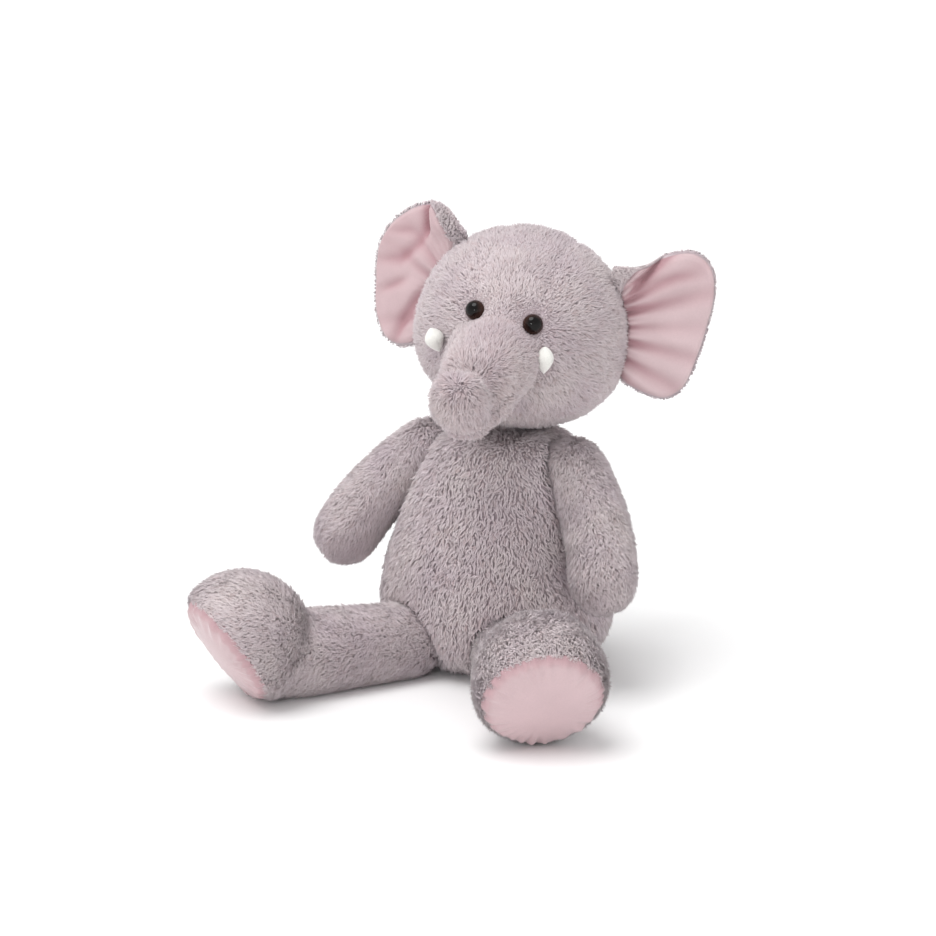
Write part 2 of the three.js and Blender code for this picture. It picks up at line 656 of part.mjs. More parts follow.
function tail() {
  const group = new THREE.Group();
  group.add(piece('tail', tailCord(0), furCloth()));
  const tuft = ellipsoid(new THREE.Vector3(0, 0, -TAIL_LENGTH - 4), TAIL_TUFT_RADII, 0, 12);
  group.add(piece('tail_tuft', tuft.subtract(tailCord(GAP)), furCloth()));
  return group;
}

// ---------------------------------------------------------------- assembly

const elephant = new THREE.Group();
elephant.add(torso());
elephant.add(neck());

const headGroup = head();
headGroup.add(trunkTip());
for (const [side, word] of SIDES) {
  const flap = ear(side, word);
  flap.position.set(side * HEAD_RADII.x, 6, HEAD_RISE + EAR_RISE[word]);
  flap.rotation.z = side * degrees(EAR_SWEEP[word]);
  headGroup.add(flap);
}
headGroup.position.copy(NECK_PIVOT);
headGroup.rotation.set(degrees(HEAD_PITCH), degrees(HEAD_ROLL), degrees(HEAD_YAW), 'ZYX');
elephant.add(headGroup);

for (const [side, word] of SIDES) {
  const limb = arm(side, word);
  limb.position.copy(shoulderPlace(side, word));
  limb.rotation.set(degrees(-ARM_FORWARD[word]), degrees(-side * ARM_SPLAY[word]), 0, 'XYZ');
  elephant.add(limb);
}

for (const [side, word] of SIDES) {
  const limb = leg(side, word);
  limb.position.copy(hipPlace(side));
  limb.rotation.z = side * degrees(LEG_SPLAY);
  elephant.add(limb);
}

const tailGroup = tail();
tailGroup.position.copy(TAIL_PIVOT);
elephant.add(tailGroup);

export default elephant;
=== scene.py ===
"""Looks of the stuffed elephant: plush fur, satin ear linings and soles, felt tusks, safety eyes."""

import json
import math

import bpy
import numpy as np
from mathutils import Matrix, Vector, noise
from mathutils.bvhtree import BVHTree
from mathutils.kdtree import KDTree


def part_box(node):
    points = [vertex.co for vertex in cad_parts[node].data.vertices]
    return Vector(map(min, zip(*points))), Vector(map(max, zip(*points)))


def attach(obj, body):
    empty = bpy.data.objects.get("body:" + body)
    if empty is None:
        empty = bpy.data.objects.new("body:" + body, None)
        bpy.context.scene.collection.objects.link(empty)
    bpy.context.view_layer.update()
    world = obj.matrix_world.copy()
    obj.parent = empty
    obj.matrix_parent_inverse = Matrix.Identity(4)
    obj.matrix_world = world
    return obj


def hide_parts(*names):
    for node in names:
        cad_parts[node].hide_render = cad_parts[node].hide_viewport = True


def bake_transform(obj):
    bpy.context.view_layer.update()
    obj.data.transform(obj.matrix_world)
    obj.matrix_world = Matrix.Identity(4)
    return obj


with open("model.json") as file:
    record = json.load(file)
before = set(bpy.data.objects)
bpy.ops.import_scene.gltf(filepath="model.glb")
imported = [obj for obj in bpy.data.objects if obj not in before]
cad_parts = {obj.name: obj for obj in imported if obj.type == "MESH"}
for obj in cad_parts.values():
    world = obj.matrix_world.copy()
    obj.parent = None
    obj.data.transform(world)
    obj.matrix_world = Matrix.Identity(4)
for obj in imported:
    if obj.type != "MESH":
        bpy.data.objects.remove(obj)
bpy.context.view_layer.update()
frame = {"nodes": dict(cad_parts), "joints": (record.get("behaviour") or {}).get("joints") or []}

MM = 0.001
TURN = 2 * math.pi
SEED = 20

VOXEL = 5.5 * MM  # size of the cells that a stuffed body's skin is made from
CLOTH = 1.2 * MM  # thickness of the woven backing under the pile
SHRINK = 2.0 * MM  # how much smaller a body starts before its stuffing swells it
SWELL_CAP = 6 * MM  # the furthest that swelling moves a point
SWELL_FRAMES = 20
SEAM_DEPTH = 1.0 * MM
SEAM_WIDTH = 4.5 * MM
NO_SEAM = 1.0  # distance from a seam on cloth that has none
FLOOR_CLEARANCE = 0.4 * MM
FLOOR_EASE = 2 * MM  # cloth and pile lower than this are pressed by the floor

PILE_DENSITY = 0.8e6  # tufts in a square metre
MOST_FACES = 196_000  # triangles in one furred piece
TUFT_LENGTH = 9.5 * MM
TUFT_RADIUS = 0.66 * MM
TUFT_BELLY = 0.4  # the tuft's thickest place, as a share of its length
TUFT_SIDES = 3
TUFT_POINTS = TUFT_SIDES + 2
TUFT_FACES = 2 * TUFT_SIDES
TUFT_LEAN = (22, 64)  # degrees away from upright, at the root and past the belly
LEAN_SPREAD = 10  # degrees
SWIRL_SIZE = 16 * MM  # over which the pile's direction changes
SWIRL_TURN = math.radians(45)
STRAY = math.radians(27)  # how far each tuft turns from its neighbours
SEAM_PILE = 0.8  # pile length at a seam, as a share of the rest
TUFTS_PER_CLUMP = 4
CLUMP_PULL = 0.28  # how far the tips of a clump lean together
PILE_SOFTNESS = 0.68  # how far the shading of a tuft follows the cloth under it

# Painted shade: the pile is painted darker towards its roots, and its backing cloth darkest, for the shade
# deep in the pile.
FUR_ROOT = (0.54, 0.455, 0.48)
FUR_MIDDLE = (0.61, 0.53, 0.548)
FUR_TIP = (0.75, 0.675, 0.688)
PINK = (0.61, 0.465, 0.482)
# Painted shade: the deeper pink painted into the satin's creases and onto satin that gets less light.
PINK_PAINTED_SHADE = (0.43, 0.245, 0.27)
FELT = (0.86, 0.85, 0.81)

rng = np.random.default_rng(SEED)
bpy.context.scene.frame_start = 1

JOINTS = {joint["name"]: joint for joint in frame["joints"]}


def joint_place(name):
    """A joint's pivot and axis at rest, as arrays in the shared frame."""
    joint = JOINTS[name]
    return np.array(joint["pos_m"]), np.array(joint["axis"])


# ---------------------------------------------------------------- arrays and meshes

def unit(vectors):
    """Vectors scaled to length one, row by row."""
    lengths = np.linalg.norm(vectors, axis=-1, keepdims=True)
    return vectors / np.maximum(lengths, 1e-12)


def smooth_step(value, start, end):
    """0 below start, 1 above end and an even turn between them."""
    t = np.clip((value - start) / (end - start), 0, 1)
    return t * t * (3 - 2 * t)


def rising_share(low, value, start, end):
    """A share that rises from low at start to the whole at end."""
    return low + (1 - low) * smooth_step(value, start, end)


def bell(distance, width):
    """1 at no distance, falling away on both sides over that width."""
    return np.exp(-((distance / width) ** 2))


def norms(vectors):
    """The length of each row."""
    return np.linalg.norm(vectors, axis=1)


def about_axis(points, origin, axis):
    """How far points are along an axis from its origin, and their offsets straight out from it."""
    ahead = (points - origin) @ axis
    return ahead, points - origin - np.outer(ahead, axis)


def bearing(flat):
    """The angle at which each flat point lies from the origin."""
    return np.arctan2(flat[:, 1], flat[:, 0])


def circle(angles):
    """Flat points at those angles, at a distance of one."""
    return np.stack([np.cos(angles), np.sin(angles)], axis=1)


def read_round(angle, angles, values):
    """Values given at some angles of a full turn, read at others."""
    return np.interp(angle, angles, values, period=TURN)


def plane_normal(points, way):
    """The unit normal of a flat piece, on the side that a direction points to."""
    normal = np.linalg.svd(points - points.mean(axis=0))[2][2]
    return normal * np.sign(normal @ way)


def node_mesh(name):
    """Corners and faces of one CAD node."""
    mesh = frame["nodes"][name].data
    points = np.array([v.co for v in mesh.vertices], float).reshape(-1, 3)
    return points, [tuple(face.vertices) for face in mesh.polygons]


def merged(meshes):
    """Several (points, faces) pairs as one."""
    points, faces, offset = [], [], 0
    for some_points, some_faces in meshes:
        points.append(some_points)
        faces += [tuple(i + offset for i in face) for face in some_faces]
        offset += len(some_points)
    return np.concatenate(points), faces


def add_to_scene(name, data):
    """A new object that shows a mesh, a light or a camera."""
    made = bpy.data.objects.new(name, data)
    bpy.context.scene.collection.objects.link(made)
    return made


def make_object(name, points, faces, material=None):
    """A smooth-shaded mesh object."""
    mesh = bpy.data.meshes.new(name)
    mesh.from_pydata(points.tolist(), [], faces)
    mesh.update()
    mesh.polygons.foreach_set("use_smooth", [True] * len(mesh.polygons))
    if material is not None:
        mesh.materials.append(material)
    return add_to_scene(name, mesh)


def apply_modifiers(thing):
    """Bakes an object's modifiers into its mesh."""
    graph = bpy.context.evaluated_depsgraph_get()
    graph.update()
    final = bpy.data.meshes.new_from_object(thing.evaluated_get(graph))
    thing.modifiers.clear()
    thing.data = final


def remove(thing):
    """Takes a helper object out of the scene."""
    bpy.data.objects.remove(thing, do_unlink=True)


def points_of(mesh, word="co"):
    """One row for each vertex of a mesh, by default its place."""
    flat = np.zeros(len(mesh.vertices) * 3)
    mesh.vertices.foreach_get(word, flat)
    return flat.reshape(-1, 3)


def normals_of(mesh):
    return points_of(mesh, "normal")


def set_points(mesh, points):
    mesh.vertices.foreach_set("co", points.astype(np.float32).ravel())
    mesh.update()


def mark(piece, word, values):
    """Stores a number at each point of a piece, for its material to read."""
    attribute = piece.data.attributes.new(word, "FLOAT", "POINT")
    attribute.data.foreach_set("value", values.astype(np.float32))


def above_floor(heights):
    """Heights eased so that nothing goes below the floor: fabric and pile press flat against it."""
    low = heights < FLOOR_EASE
    pressed = FLOOR_EASE * np.exp((np.minimum(heights, FLOOR_EASE) - FLOOR_EASE) / FLOOR_EASE)
    return np.where(low, FLOOR_CLEARANCE + pressed * (1 - FLOOR_CLEARANCE / FLOOR_EASE), heights)


# ---------------------------------------------------------------- stuffed bodies

class Skin:
    """The outer surface of one body, as quads: each quad's panel, each point's distance from a seam."""

    def __init__(self, mesh, panels=()):
        self.points = points_of(mesh)
        self.normals = normals_of(mesh)
        self.quads = np.array([tuple(face.vertices) for face in mesh.polygons])
        self.panels = panels
        self.seam = np.full(len(self.points), NO_SEAM)
        if panels:
            self.find_seams(panel_gaps(self.points, panels))

    def find_seams(self, gaps):
        """Gives each quad to its nearest panel, and measures from where two panels meet."""
        self.quad_panel = gaps[:, self.quads].sum(axis=2).argmin(axis=0)
        if len(self.panels) > 1:
            nearest, second = np.sort(gaps, axis=0)[:2]
            self.seam = np.sqrt(np.maximum(second ** 2 - nearest ** 2, 0))


def panel_gaps(points, panels):
    """Distance from each point to each CAD panel, one row for each panel."""
    rows = []
    for panel in panels:
        tree = BVHTree.FromPolygons(*node_mesh(panel))
        rows.append([tree.find_nearest(p)[3] for p in points])
    return np.array(rows)


def swell(body, pinned):
    """Stuffs a body: pressure inside its cloth pushes it out between the seams, which hold."""
    start = points_of(body.data)
    group = body.vertex_groups.new(name="seams")
    for index in np.flatnonzero(pinned > 0.5):
        group.add([int(index)], 1.0, "REPLACE")
    cloth = body.modifiers.new("stuffing", "CLOTH")
    cloth.settings.quality = 4
    cloth.settings.mass = 0.3
    cloth.settings.tension_stiffness = 15
    cloth.settings.compression_stiffness = 15
    cloth.settings.bending_stiffness = 0.6
    cloth.settings.use_pressure = True
    cloth.settings.uniform_pressure_force = 4
    cloth.settings.effector_weights.gravity = 0
    cloth.settings.vertex_group_mass = group.name
    cloth.collision_settings.use_self_collision = False
    cloth.point_cache.frame_start = 1
    cloth.point_cache.frame_end = SWELL_FRAMES
    for frame_number in range(1, SWELL_FRAMES + 1):
        bpy.context.scene.frame_set(frame_number)
    apply_modifiers(body)
    move = points_of(body.data) - start
    reach = np.linalg.norm(move, axis=1, keepdims=True)
    move *= np.minimum(1, SWELL_CAP / np.maximum(reach, 1e-9))
    set_points(body.data, start + move)
    bpy.context.scene.frame_set(1)


def smoothed(body, factor, repeats):
    """Evens out an object's mesh."""
    modifier = body.modifiers.new("smooth", "SMOOTH")
    modifier.factor = factor
    modifier.iterations = repeats
    apply_modifiers(body)


def stuffed_skin(name, panels, inside=(), extra=(), reshape=None):
    """One body's skin: its CAD solids as one closed cloth surface, stuffed, with its seams drawn in."""
    solids = [node_mesh(node) for node in (*panels, *inside)]
    body = make_object(name, *merged([*solids, *extra]))
    remesh = body.modifiers.new("cells", "REMESH")
    remesh.mode = "VOXEL"
    remesh.voxel_size = VOXEL
    apply_modifiers(body)
    smoothed(body, 0.5, 5)
    if reshape is not None:
        set_points(body.data, reshape(points_of(body.data)))
    set_points(body.data, points_of(body.data) - normals_of(body.data) * SHRINK)
    skin = Skin(body.data, panels)
    swell(body, 1 - smooth_step(skin.seam, VOXEL * 0.5, VOXEL * 1.2))
    smoothed(body, 0.5, 2)
    finer = body.modifiers.new("finer", "SUBSURF")
    finer.levels = 1
    apply_modifiers(body)
    skin = Skin(body.data, panels)
    crease = SEAM_DEPTH * bell(skin.seam, SEAM_WIDTH)
    skin.points = skin.points - skin.normals * crease[:, None]
    skin.points[:, 2] = above_floor(skin.points[:, 2])
    set_points(body.data, skin.points)
    skin.normals = normals_of(body.data)
    remove(body)
    return skin


def backing(skin, chosen):
    """The chosen quads as a closed piece of cloth: outer face, inner face and the cut edge between."""
    quads = skin.quads[chosen]
    used, local = np.unique(quads, return_inverse=True)
    local = local.reshape(quads.shape)
    outer = skin.points[used]
    inner = outer - skin.normals[used] * CLOTH
    count = len(used)
    edges = np.concatenate([local[:, [i, (i + 1) % 4]] for i in range(4)])
    there = {(int(a), int(b)) for a, b in edges}
    rim = [(a, b) for a, b in sorted(there) if (b, a) not in there]
    walls = [(b, a, a + count, b + count) for a, b in rim]
    faces = np.concatenate([local, local[:, ::-1] + count])
    if walls:
        faces = np.concatenate([faces, np.array(walls)])
    return np.concatenate([outer, inner]), faces


# ---------------------------------------------------------------- fur

def swirl(points, size, turn):
    """A smooth random angle at each point, up to turn either way, that changes over that size."""
    scaled = points / size
    return turn * np.array([noise.noise(p) for p in scaled])


def turned(vectors, axes, angles):
    """Vectors turned about unit axes, row by row."""
    cos = np.cos(angles)[:, None]
    sin = np.sin(angles)[:, None]
    along = (vectors * axes).sum(axis=1, keepdims=True)
    return vectors * cos + np.cross(axes, vectors) * sin + axes * along * (1 - cos)


def scattered(skin, chosen):
    """Random places on the chosen quads: their points, normals, seam distances, and the density used."""
    quads = skin.quads[chosen]
    corners = skin.points[quads]
    area = 0.5 * np.linalg.norm(
        np.cross(corners[:, 2] - corners[:, 0], corners[:, 3] - corners[:, 1]), axis=1
    )
    density = min(PILE_DENSITY, (MOST_FACES - 4 * len(quads)) / TUFT_FACES / area.sum())
    counts = np.floor(area * density + rng.random(len(quads))).astype(int)
    index = np.repeat(np.arange(len(quads)), counts)
    a, b = rng.random((2, len(index)))
    weights = np.stack([(1 - a) * (1 - b), a * (1 - b), a * b, (1 - a) * b], axis=1)
    points = (corners[index] * weights[:, :, None]).sum(axis=1)
    normals = unit((skin.normals[quads[index]] * weights[:, :, None]).sum(axis=1))
    seam = (skin.seam[quads[index]] * weights).sum(axis=1)
    return points, normals, seam, density


def clump_leaders(points):
    """For each tuft, the index of the nearest of the tufts that the others lean together with."""
    leaders = np.flatnonzero(rng.random(len(points)) < 1 / TUFTS_PER_CLUMP)
    tree = KDTree(len(leaders))
    for leader in leaders:
        tree.insert(points[leader], int(leader))
    tree.balance()
    return np.array([tree.find(p)[1] for p in points])


def tufts(points, normals, flow, length, thickness):
    """Bent tufts of pile as closed spindles: root, a ring at the belly, and tip.

    Returns their corners, the normals to shade them with, and how light each tuft is.
    """
    count = len(points)
    flow = unit(flow - normals * (flow * normals).sum(axis=1, keepdims=True))
    turn = swirl(points, SWIRL_SIZE, SWIRL_TURN) + rng.normal(0, STRAY, count)
    flow = turned(flow, normals, turn)
    start, end = (np.radians(angle + rng.normal(0, LEAN_SPREAD, count))[:, None] for angle in TUFT_LEAN)
    rise = normals * np.cos(start) + flow * np.sin(start)
    fall = normals * np.cos(end) + flow * np.sin(end)
    length = (length * rng.uniform(0.7, 1.2, count))[:, None]
    middle = points + rise * length * TUFT_BELLY
    tip = middle + fall * length * (1 - TUFT_BELLY)
    leader = clump_leaders(points)
    pull = CLUMP_PULL * rng.uniform(0.6, 1.3, count)[:, None]
    tip = tip + (tip[leader] - tip) * pull
    side = unit(np.cross(tip - points, normals))
    across = unit(np.cross(tip - points, side))
    radius = (thickness * rng.uniform(0.8, 1.2, count))[:, None]
    spin = rng.uniform(0, TURN, count)
    corners = [points - normals * CLOTH * 0.5]
    shading = [normals]
    for k in range(TUFT_SIDES):
        angle = spin + TURN * k / TUFT_SIDES
        out = side * np.cos(angle)[:, None] + across * np.sin(angle)[:, None]
        corners.append(middle + out * radius)
        shading.append(unit(normals * PILE_SOFTNESS + out * (1 - PILE_SOFTNESS)))
    corners.append(tip)
    shading.append(unit(normals * PILE_SOFTNESS + fall * (1 - PILE_SOFTNESS)))
    corners = np.stack(corners, axis=1)
    corners[:, :, 2] = above_floor(corners[:, :, 2])
    light = 0.5 * rng.random(count)[leader] + 0.5 * rng.random(count)
    return corners, np.stack(shading, axis=1), light


def tuft_faces(count):
    """Faces of that many spindles: triangles from the root to the belly and from there to the tip."""
    ring = [(1 + k, 1 + (k + 1) % TUFT_SIDES) for k in range(TUFT_SIDES)]
    tip = TUFT_POINTS - 1
    pattern = [(0, b, a) for a, b in ring] + [(a, b, tip) for a, b in ring]
    start = (np.arange(count) * TUFT_POINTS)[:, None, None]
    return (np.array(pattern)[None] + start).reshape(-1, 3)


def bake_places(quad_count, tuft_count):
    """Bake places: each backing face and each tuft has one cell of a square grid, less a margin."""
    side = math.ceil(math.sqrt(quad_count + tuft_count))
    index = np.arange(quad_count + tuft_count)
    corner = np.stack([index % side, index // side], axis=1)
    square = np.array([[(0, 0), (1, 0), (1, 1), (0, 1)]])
    ring = [(k / TUFT_SIDES, (k + 1) / TUFT_SIDES) for k in range(TUFT_SIDES)]
    lower = [(0.5, 0, b, TUFT_BELLY, a, TUFT_BELLY) for a, b in ring]
    upper = [(a, TUFT_BELLY, b, TUFT_BELLY, 0.5, 1) for a, b in ring]
    triangles = np.array(lower + upper).reshape(-1, 3, 2)
    margin = 0.12

    def placed(cells, pattern):
        inside = margin + pattern * (1 - 2 * margin)
        return ((cells[:, None, None] + inside[None]) / side).reshape(-1, 2)

    return np.concatenate([placed(corner[:quad_count], square), placed(corner[quad_count:], triangles)])


def furred(name, skin, chosen, flow, length=TUFT_LENGTH, keep=None, tone=1.0, facing=None):
    """A furred panel: the cloth backing of the chosen quads and the tufts rooted in it, as one mesh.

    A tone under 1 makes the pile darker and browner, one over 1 lighter: partly the cloth's own colour,
    partly painted shade and painted light for how much light falls on the piece. Pile is shaded as if it
    stood towards facing, except on cloth that is turned away from it.
    """
    cloth_points, cloth_faces = backing(skin, chosen)
    points, normals, seam, density = scattered(skin, chosen)
    lengths = length * rising_share(SEAM_PILE, seam, 0, 5 * MM)
    if keep is not None:
        kept, lengths = keep(points, normals, lengths)
        points, normals, lengths = points[kept], normals[kept], lengths[kept]
    thickness = TUFT_RADIUS * (PILE_DENSITY / density) ** 0.3
    corners, shading, light = tufts(points, normals, flow(points), lengths, thickness)
    if facing is not None:
        share = smooth_step(normals @ facing, -0.6, 0.1)
        shading = unit(shading + share[:, None, None] * facing)
    count = len(corners)
    triangles = tuft_faces(count) + len(cloth_points)
    every_point = np.concatenate([cloth_points, corners.reshape(-1, 3)])
    made = make_object(name, every_point, [*cloth_faces.tolist(), *triangles.tolist()], FUR)
    along = np.tile([0] + [TUFT_BELLY] * TUFT_SIDES + [1], count)
    mark(made, "along", np.concatenate([np.zeros(len(cloth_points)), along]))
    # Each tuft's random lightness times the piece's tone, which is partly painted light and shade.
    shade = np.repeat(light * tone, TUFT_POINTS)
    mark(made, "shade", np.concatenate([np.full(len(cloth_points), 0.5), shade]))
    places = made.data.uv_layers.new(name="OFBake")
    places.data.foreach_set("uv", bake_places(len(cloth_faces), count).astype(np.float32).ravel())
    every_normal = np.concatenate([normals_of(made.data)[:len(cloth_points)], shading.reshape(-1, 3)])
    made.data.normals_split_custom_set_from_vertices(every_normal.tolist())
    return made


# ---------------------------------------------------------------- materials

WAVE_PERIOD = 0.314  # width of one stripe of Blender's wave texture at a scale of 1


class Recipe:
    """A Principled material and short ways to add the nodes that drive it."""

    def __init__(self, name, roughness, sheen=0.0, specular=0.5):
        self.material = bpy.data.materials.new(name)
        self.material.use_nodes = True
        self.tree = self.material.node_tree
        self.shader = self.tree.nodes["Principled BSDF"]
        self.shader.inputs["Roughness"].default_value = roughness
        self.shader.inputs["Sheen Weight"].default_value = sheen
        self.shader.inputs["Specular IOR Level"].default_value = specular
        self.object_place = self.tree.nodes.new("ShaderNodeTexCoord").outputs["Object"]

    def link(self, start, end):
        self.tree.links.new(start, end)

    def attribute(self, word):
        node = self.tree.nodes.new("ShaderNodeAttribute")
        node.attribute_name = word
        return node.outputs["Fac"]

    def noise(self, size, detail=3.0):
        node = self.tree.nodes.new("ShaderNodeTexNoise")
        node.inputs["Scale"].default_value = 1 / size
        node.inputs["Detail"].default_value = detail
        self.link(self.object_place, node.inputs["Vector"])
        return node.outputs["Fac"]

    def threads(self, size, direction):
        """Slightly uneven stripes, one to each thread of that size."""
        node = self.tree.nodes.new("ShaderNodeTexWave")
        node.bands_direction = direction
        node.inputs["Scale"].default_value = WAVE_PERIOD / size
        node.inputs["Distortion"].default_value = 0.4
        self.link(self.object_place, node.inputs["Vector"])
        return node.outputs["Fac"]

    def ramp(self, value, stops):
        node = self.tree.nodes.new("ShaderNodeValToRGB")
        elements = node.color_ramp.elements
        stops = list(stops)
        while len(elements) < len(stops):
            elements.new(0.5)
        for element, (place, colour) in zip(elements, stops):
            element.position = place
            element.color = (*colour, 1)
        self.link(value, node.inputs["Fac"])
        return node.outputs["Color"]

    def mix(self, blend, first):
        """A colour mix over first: its node, the socket of its second colour, and its result."""
        node = self.tree.nodes.new("ShaderNodeMix")
        node.data_type = "RGBA"
        node.blend_type = blend
        under, over = [socket for socket in node.inputs if socket.type == "RGBA"]
        self.link(first, under)
        return node, over, next(socket for socket in node.outputs if socket.type == "RGBA")

    def multiplied(self, first, second):
        node, over, result = self.mix("MULTIPLY", first)
        node.inputs["Factor"].default_value = 1.0
        self.link(second, over)
        return result

    def turning_into(self, first, colour, share):
        node, over, result = self.mix("MIX", first)
        over.default_value = (*colour, 1)
        self.link(share, node.inputs["Factor"])
        return result

    def added(self, first, second):
        node = self.tree.nodes.new("ShaderNodeMath")
        node.operation = "ADD"
        self.link(first, node.inputs[0])
        self.link(second, node.inputs[1])
        return node.outputs["Value"]

    def colour(self, value):
        self.link(value, self.shader.inputs["Base Color"])

    def bump(self, height, strength, distance):
        node = self.tree.nodes.new("ShaderNodeBump")
        node.inputs["Strength"].default_value = strength
        node.inputs["Distance"].default_value = distance
        self.link(height, node.inputs["Height"])
        self.link(node.outputs["Normal"], self.shader.inputs["Normal"])


def grey(level):
    return (level, level, level)


def shades(colour, *levels):
    """Darker and lighter versions of a colour."""
    return [tuple(level * part for part in colour) for level in levels]


def fur_material():
    """Plush pile: painted shade darkens it towards its roots, pale at its tips, uneven from clump to clump
    and place to place.
    """
    recipe = Recipe("plush_fur", roughness=0.9, sheen=0.35, specular=0.15)
    recipe.shader.inputs["Sheen Roughness"].default_value = 0.6
    recipe.shader.inputs["Sheen Tint"].default_value = (0.95, 0.9, 0.93, 1)
    pile = recipe.ramp(recipe.attribute("along"), [(0, FUR_ROOT), (0.4, FUR_MIDDLE), (1, FUR_TIP)])
    clump_shades = [(0.05, (0.86, 0.79, 0.78)), (0.4, grey(0.97)), (0.95, grey(1.07))]
    clump = recipe.ramp(recipe.attribute("shade"), clump_shades)
    patch_shades = [(0.3, (0.93, 0.90, 0.93)), (0.7, (1.05, 1.05, 1.03))]
    patches = recipe.ramp(recipe.noise(45 * MM), patch_shades)
    recipe.colour(recipe.multiplied(recipe.multiplied(pile, clump), patches))
    return recipe.material


def satin_material():
    """Brushed pink satin: a fine close weave with a soft sheen, painted a deeper pink in its creases and
    gathers as painted shade.
    """
    recipe = Recipe("pink_satin", roughness=0.48, sheen=0.4, specular=0.35)
    recipe.shader.inputs["Sheen Roughness"].default_value = 0.35
    patches = recipe.ramp(recipe.noise(30 * MM), zip((0.3, 0.7), shades(PINK, 0.95, 1.03)))
    # Painted shade: the pink turns deeper where the satin is marked as folded or less lit.
    patches = recipe.turning_into(patches, PINK_PAINTED_SHADE, recipe.attribute("fold"))
    weave = recipe.added(*(recipe.threads(0.55 * MM, direction) for direction in ("Z", "X")))
    fleck = recipe.ramp(recipe.noise(1.1 * MM), [(0.3, grey(0.96)), (0.7, grey(1.03))])
    recipe.colour(recipe.multiplied(patches, fleck))
    recipe.bump(weave, 0.25, 0.12 * MM)
    return recipe.material


def felt_material():
    """White wool felt: matted fibres in every direction."""
    recipe = Recipe("white_felt", roughness=0.95, sheen=0.5, specular=0.1)
    fibres = recipe.noise(0.8 * MM, detail=6.0)
    recipe.colour(recipe.ramp(fibres, zip((0.3, 0.7), shades(FELT, 0.88, 1))))
    recipe.bump(fibres, 0.6, 0.35 * MM)
    return recipe.material


def eye_material():
    """Glossy moulded plastic: black in the middle with a dark brown rim."""
    recipe = Recipe("eye_plastic", roughness=0.045, specular=0.22)
    rim = recipe.ramp(recipe.attribute("out"), [
        (0.55, (0.004, 0.003, 0.003)), (0.8, (0.02, 0.008, 0.006)), (0.97, (0.045, 0.018, 0.012)),
    ])
    cloud = recipe.ramp(recipe.noise(2 * MM), [(0.3, grey(0.85)), (0.7, grey(1.1))])
    recipe.colour(recipe.multiplied(rim, cloud))
    return recipe.material


def washer_material():
    """Matt moulded plastic with faint flow marks."""
    recipe = Recipe("washer_plastic", roughness=0.45)
    flow = recipe.noise(4 * MM)
    recipe.colour(recipe.ramp(flow, [(0.3, (0.7, 0.69, 0.65)), (0.7, (0.78, 0.77, 0.73))]))
    return recipe.material


FUR = fur_material()
SATIN = satin_material()
WHITE_FELT = felt_material()
EYE = eye_material()
WASHER = washer_material()


# ---------------------------------------------------------------- bodies

def towards(direction):
    """Pile that lies the same way everywhere."""
    return lambda points: np.tile(np.array(direction, float), (len(points), 1))


def away_from(place):
    """Pile that lies away from one point."""
    return lambda points: points - np.array(place)


def furred_panels(skin, body, flows, standing_for=None, **options):
    """Each fur panel of a skin as its own piece on its body."""
    made = {}
    for index, panel in enumerate(skin.panels):
        if panel not in flows:
            continue
        chosen = np.flatnonzero(skin.quad_panel == index)
        piece = furred(panel + "_fur", skin, chosen, flows[panel], **options)
        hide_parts(panel, *(standing_for or {}).get(panel, ()))
        made[panel] = piece
        if body is not None:
            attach(piece, body)
    return made


def torso():
    """The torso: fur lies downward on its sides and outward under the seat."""
    panels = ["torso_left_panel", "torso_right_panel", "torso_seat_panel"]
    skin = stuffed_skin("torso", panels, ["torso_filling", "seat_pellet_bag"])
    down = towards((0, 0, -1))
    outward = away_from((0, 0, 0.05))
    flows = dict(zip(panels, (down, down, outward)))
    furred_panels(skin, "torso", flows, {
        "torso_seat_panel": ["torso_filling", "seat_pellet_bag"],
    })


def arms():
    """The arms: fur lies from the shoulder to the hand."""
    for side in ("left", "right"):
        panels = [f"arm_{side}_outer_panel", f"arm_{side}_inner_panel"]
        filling = f"arm_{side}_filling"
        skin = stuffed_skin(f"arm_{side}", panels, [filling])
        shoulder, _ = joint_place(f"arm_{side}_swing")
        flows = {panel: away_from(shoulder + (0, 0, 0.03)) for panel in panels}
        furred_panels(skin, f"arm_{side}", flows, {panels[1]: [filling]})


def legs():
    """The legs: fur lies from the hip to the foot, and each sole is satin."""
    for side in ("left", "right"):
        panels = [f"leg_{side}_outer_panel", f"leg_{side}_inner_panel", f"leg_{side}_sole"]
        filling = f"leg_{side}_filling"
        skin = stuffed_skin(f"leg_{side}", panels, [filling])
        hip, _ = joint_place(f"leg_{side}_swing")
        flows = {panel: away_from(hip) for panel in panels[:2]}
        furred_panels(skin, f"leg_{side}", flows, {panels[1]: [filling]},
                      keep=short_by_sole(panels[2], hip))
        sole(side, hip)


def short_by_sole(node, hip):
    """Shorter pile next to the sole, so that it does not hang over the satin."""
    points, _ = node_mesh(node)
    centre = points.mean(axis=0)
    outward = plane_normal(points, centre - hip)

    def keep(points, normals, lengths):
        gap = (centre - points) @ outward
        return np.ones(len(points), bool), lengths * rising_share(0.5, gap, 2 * MM, 16 * MM)

    return keep


SOLE_REACH = 2.5 * MM  # how far the satin reaches past the CAD disc, into the pile
SOLE_DOME = 8 * MM
SOLE_TUCK = 5 * MM  # how deep its edge is sewn in
PUCKERS = 26
PUCKER_DEPTH = 1.1 * MM


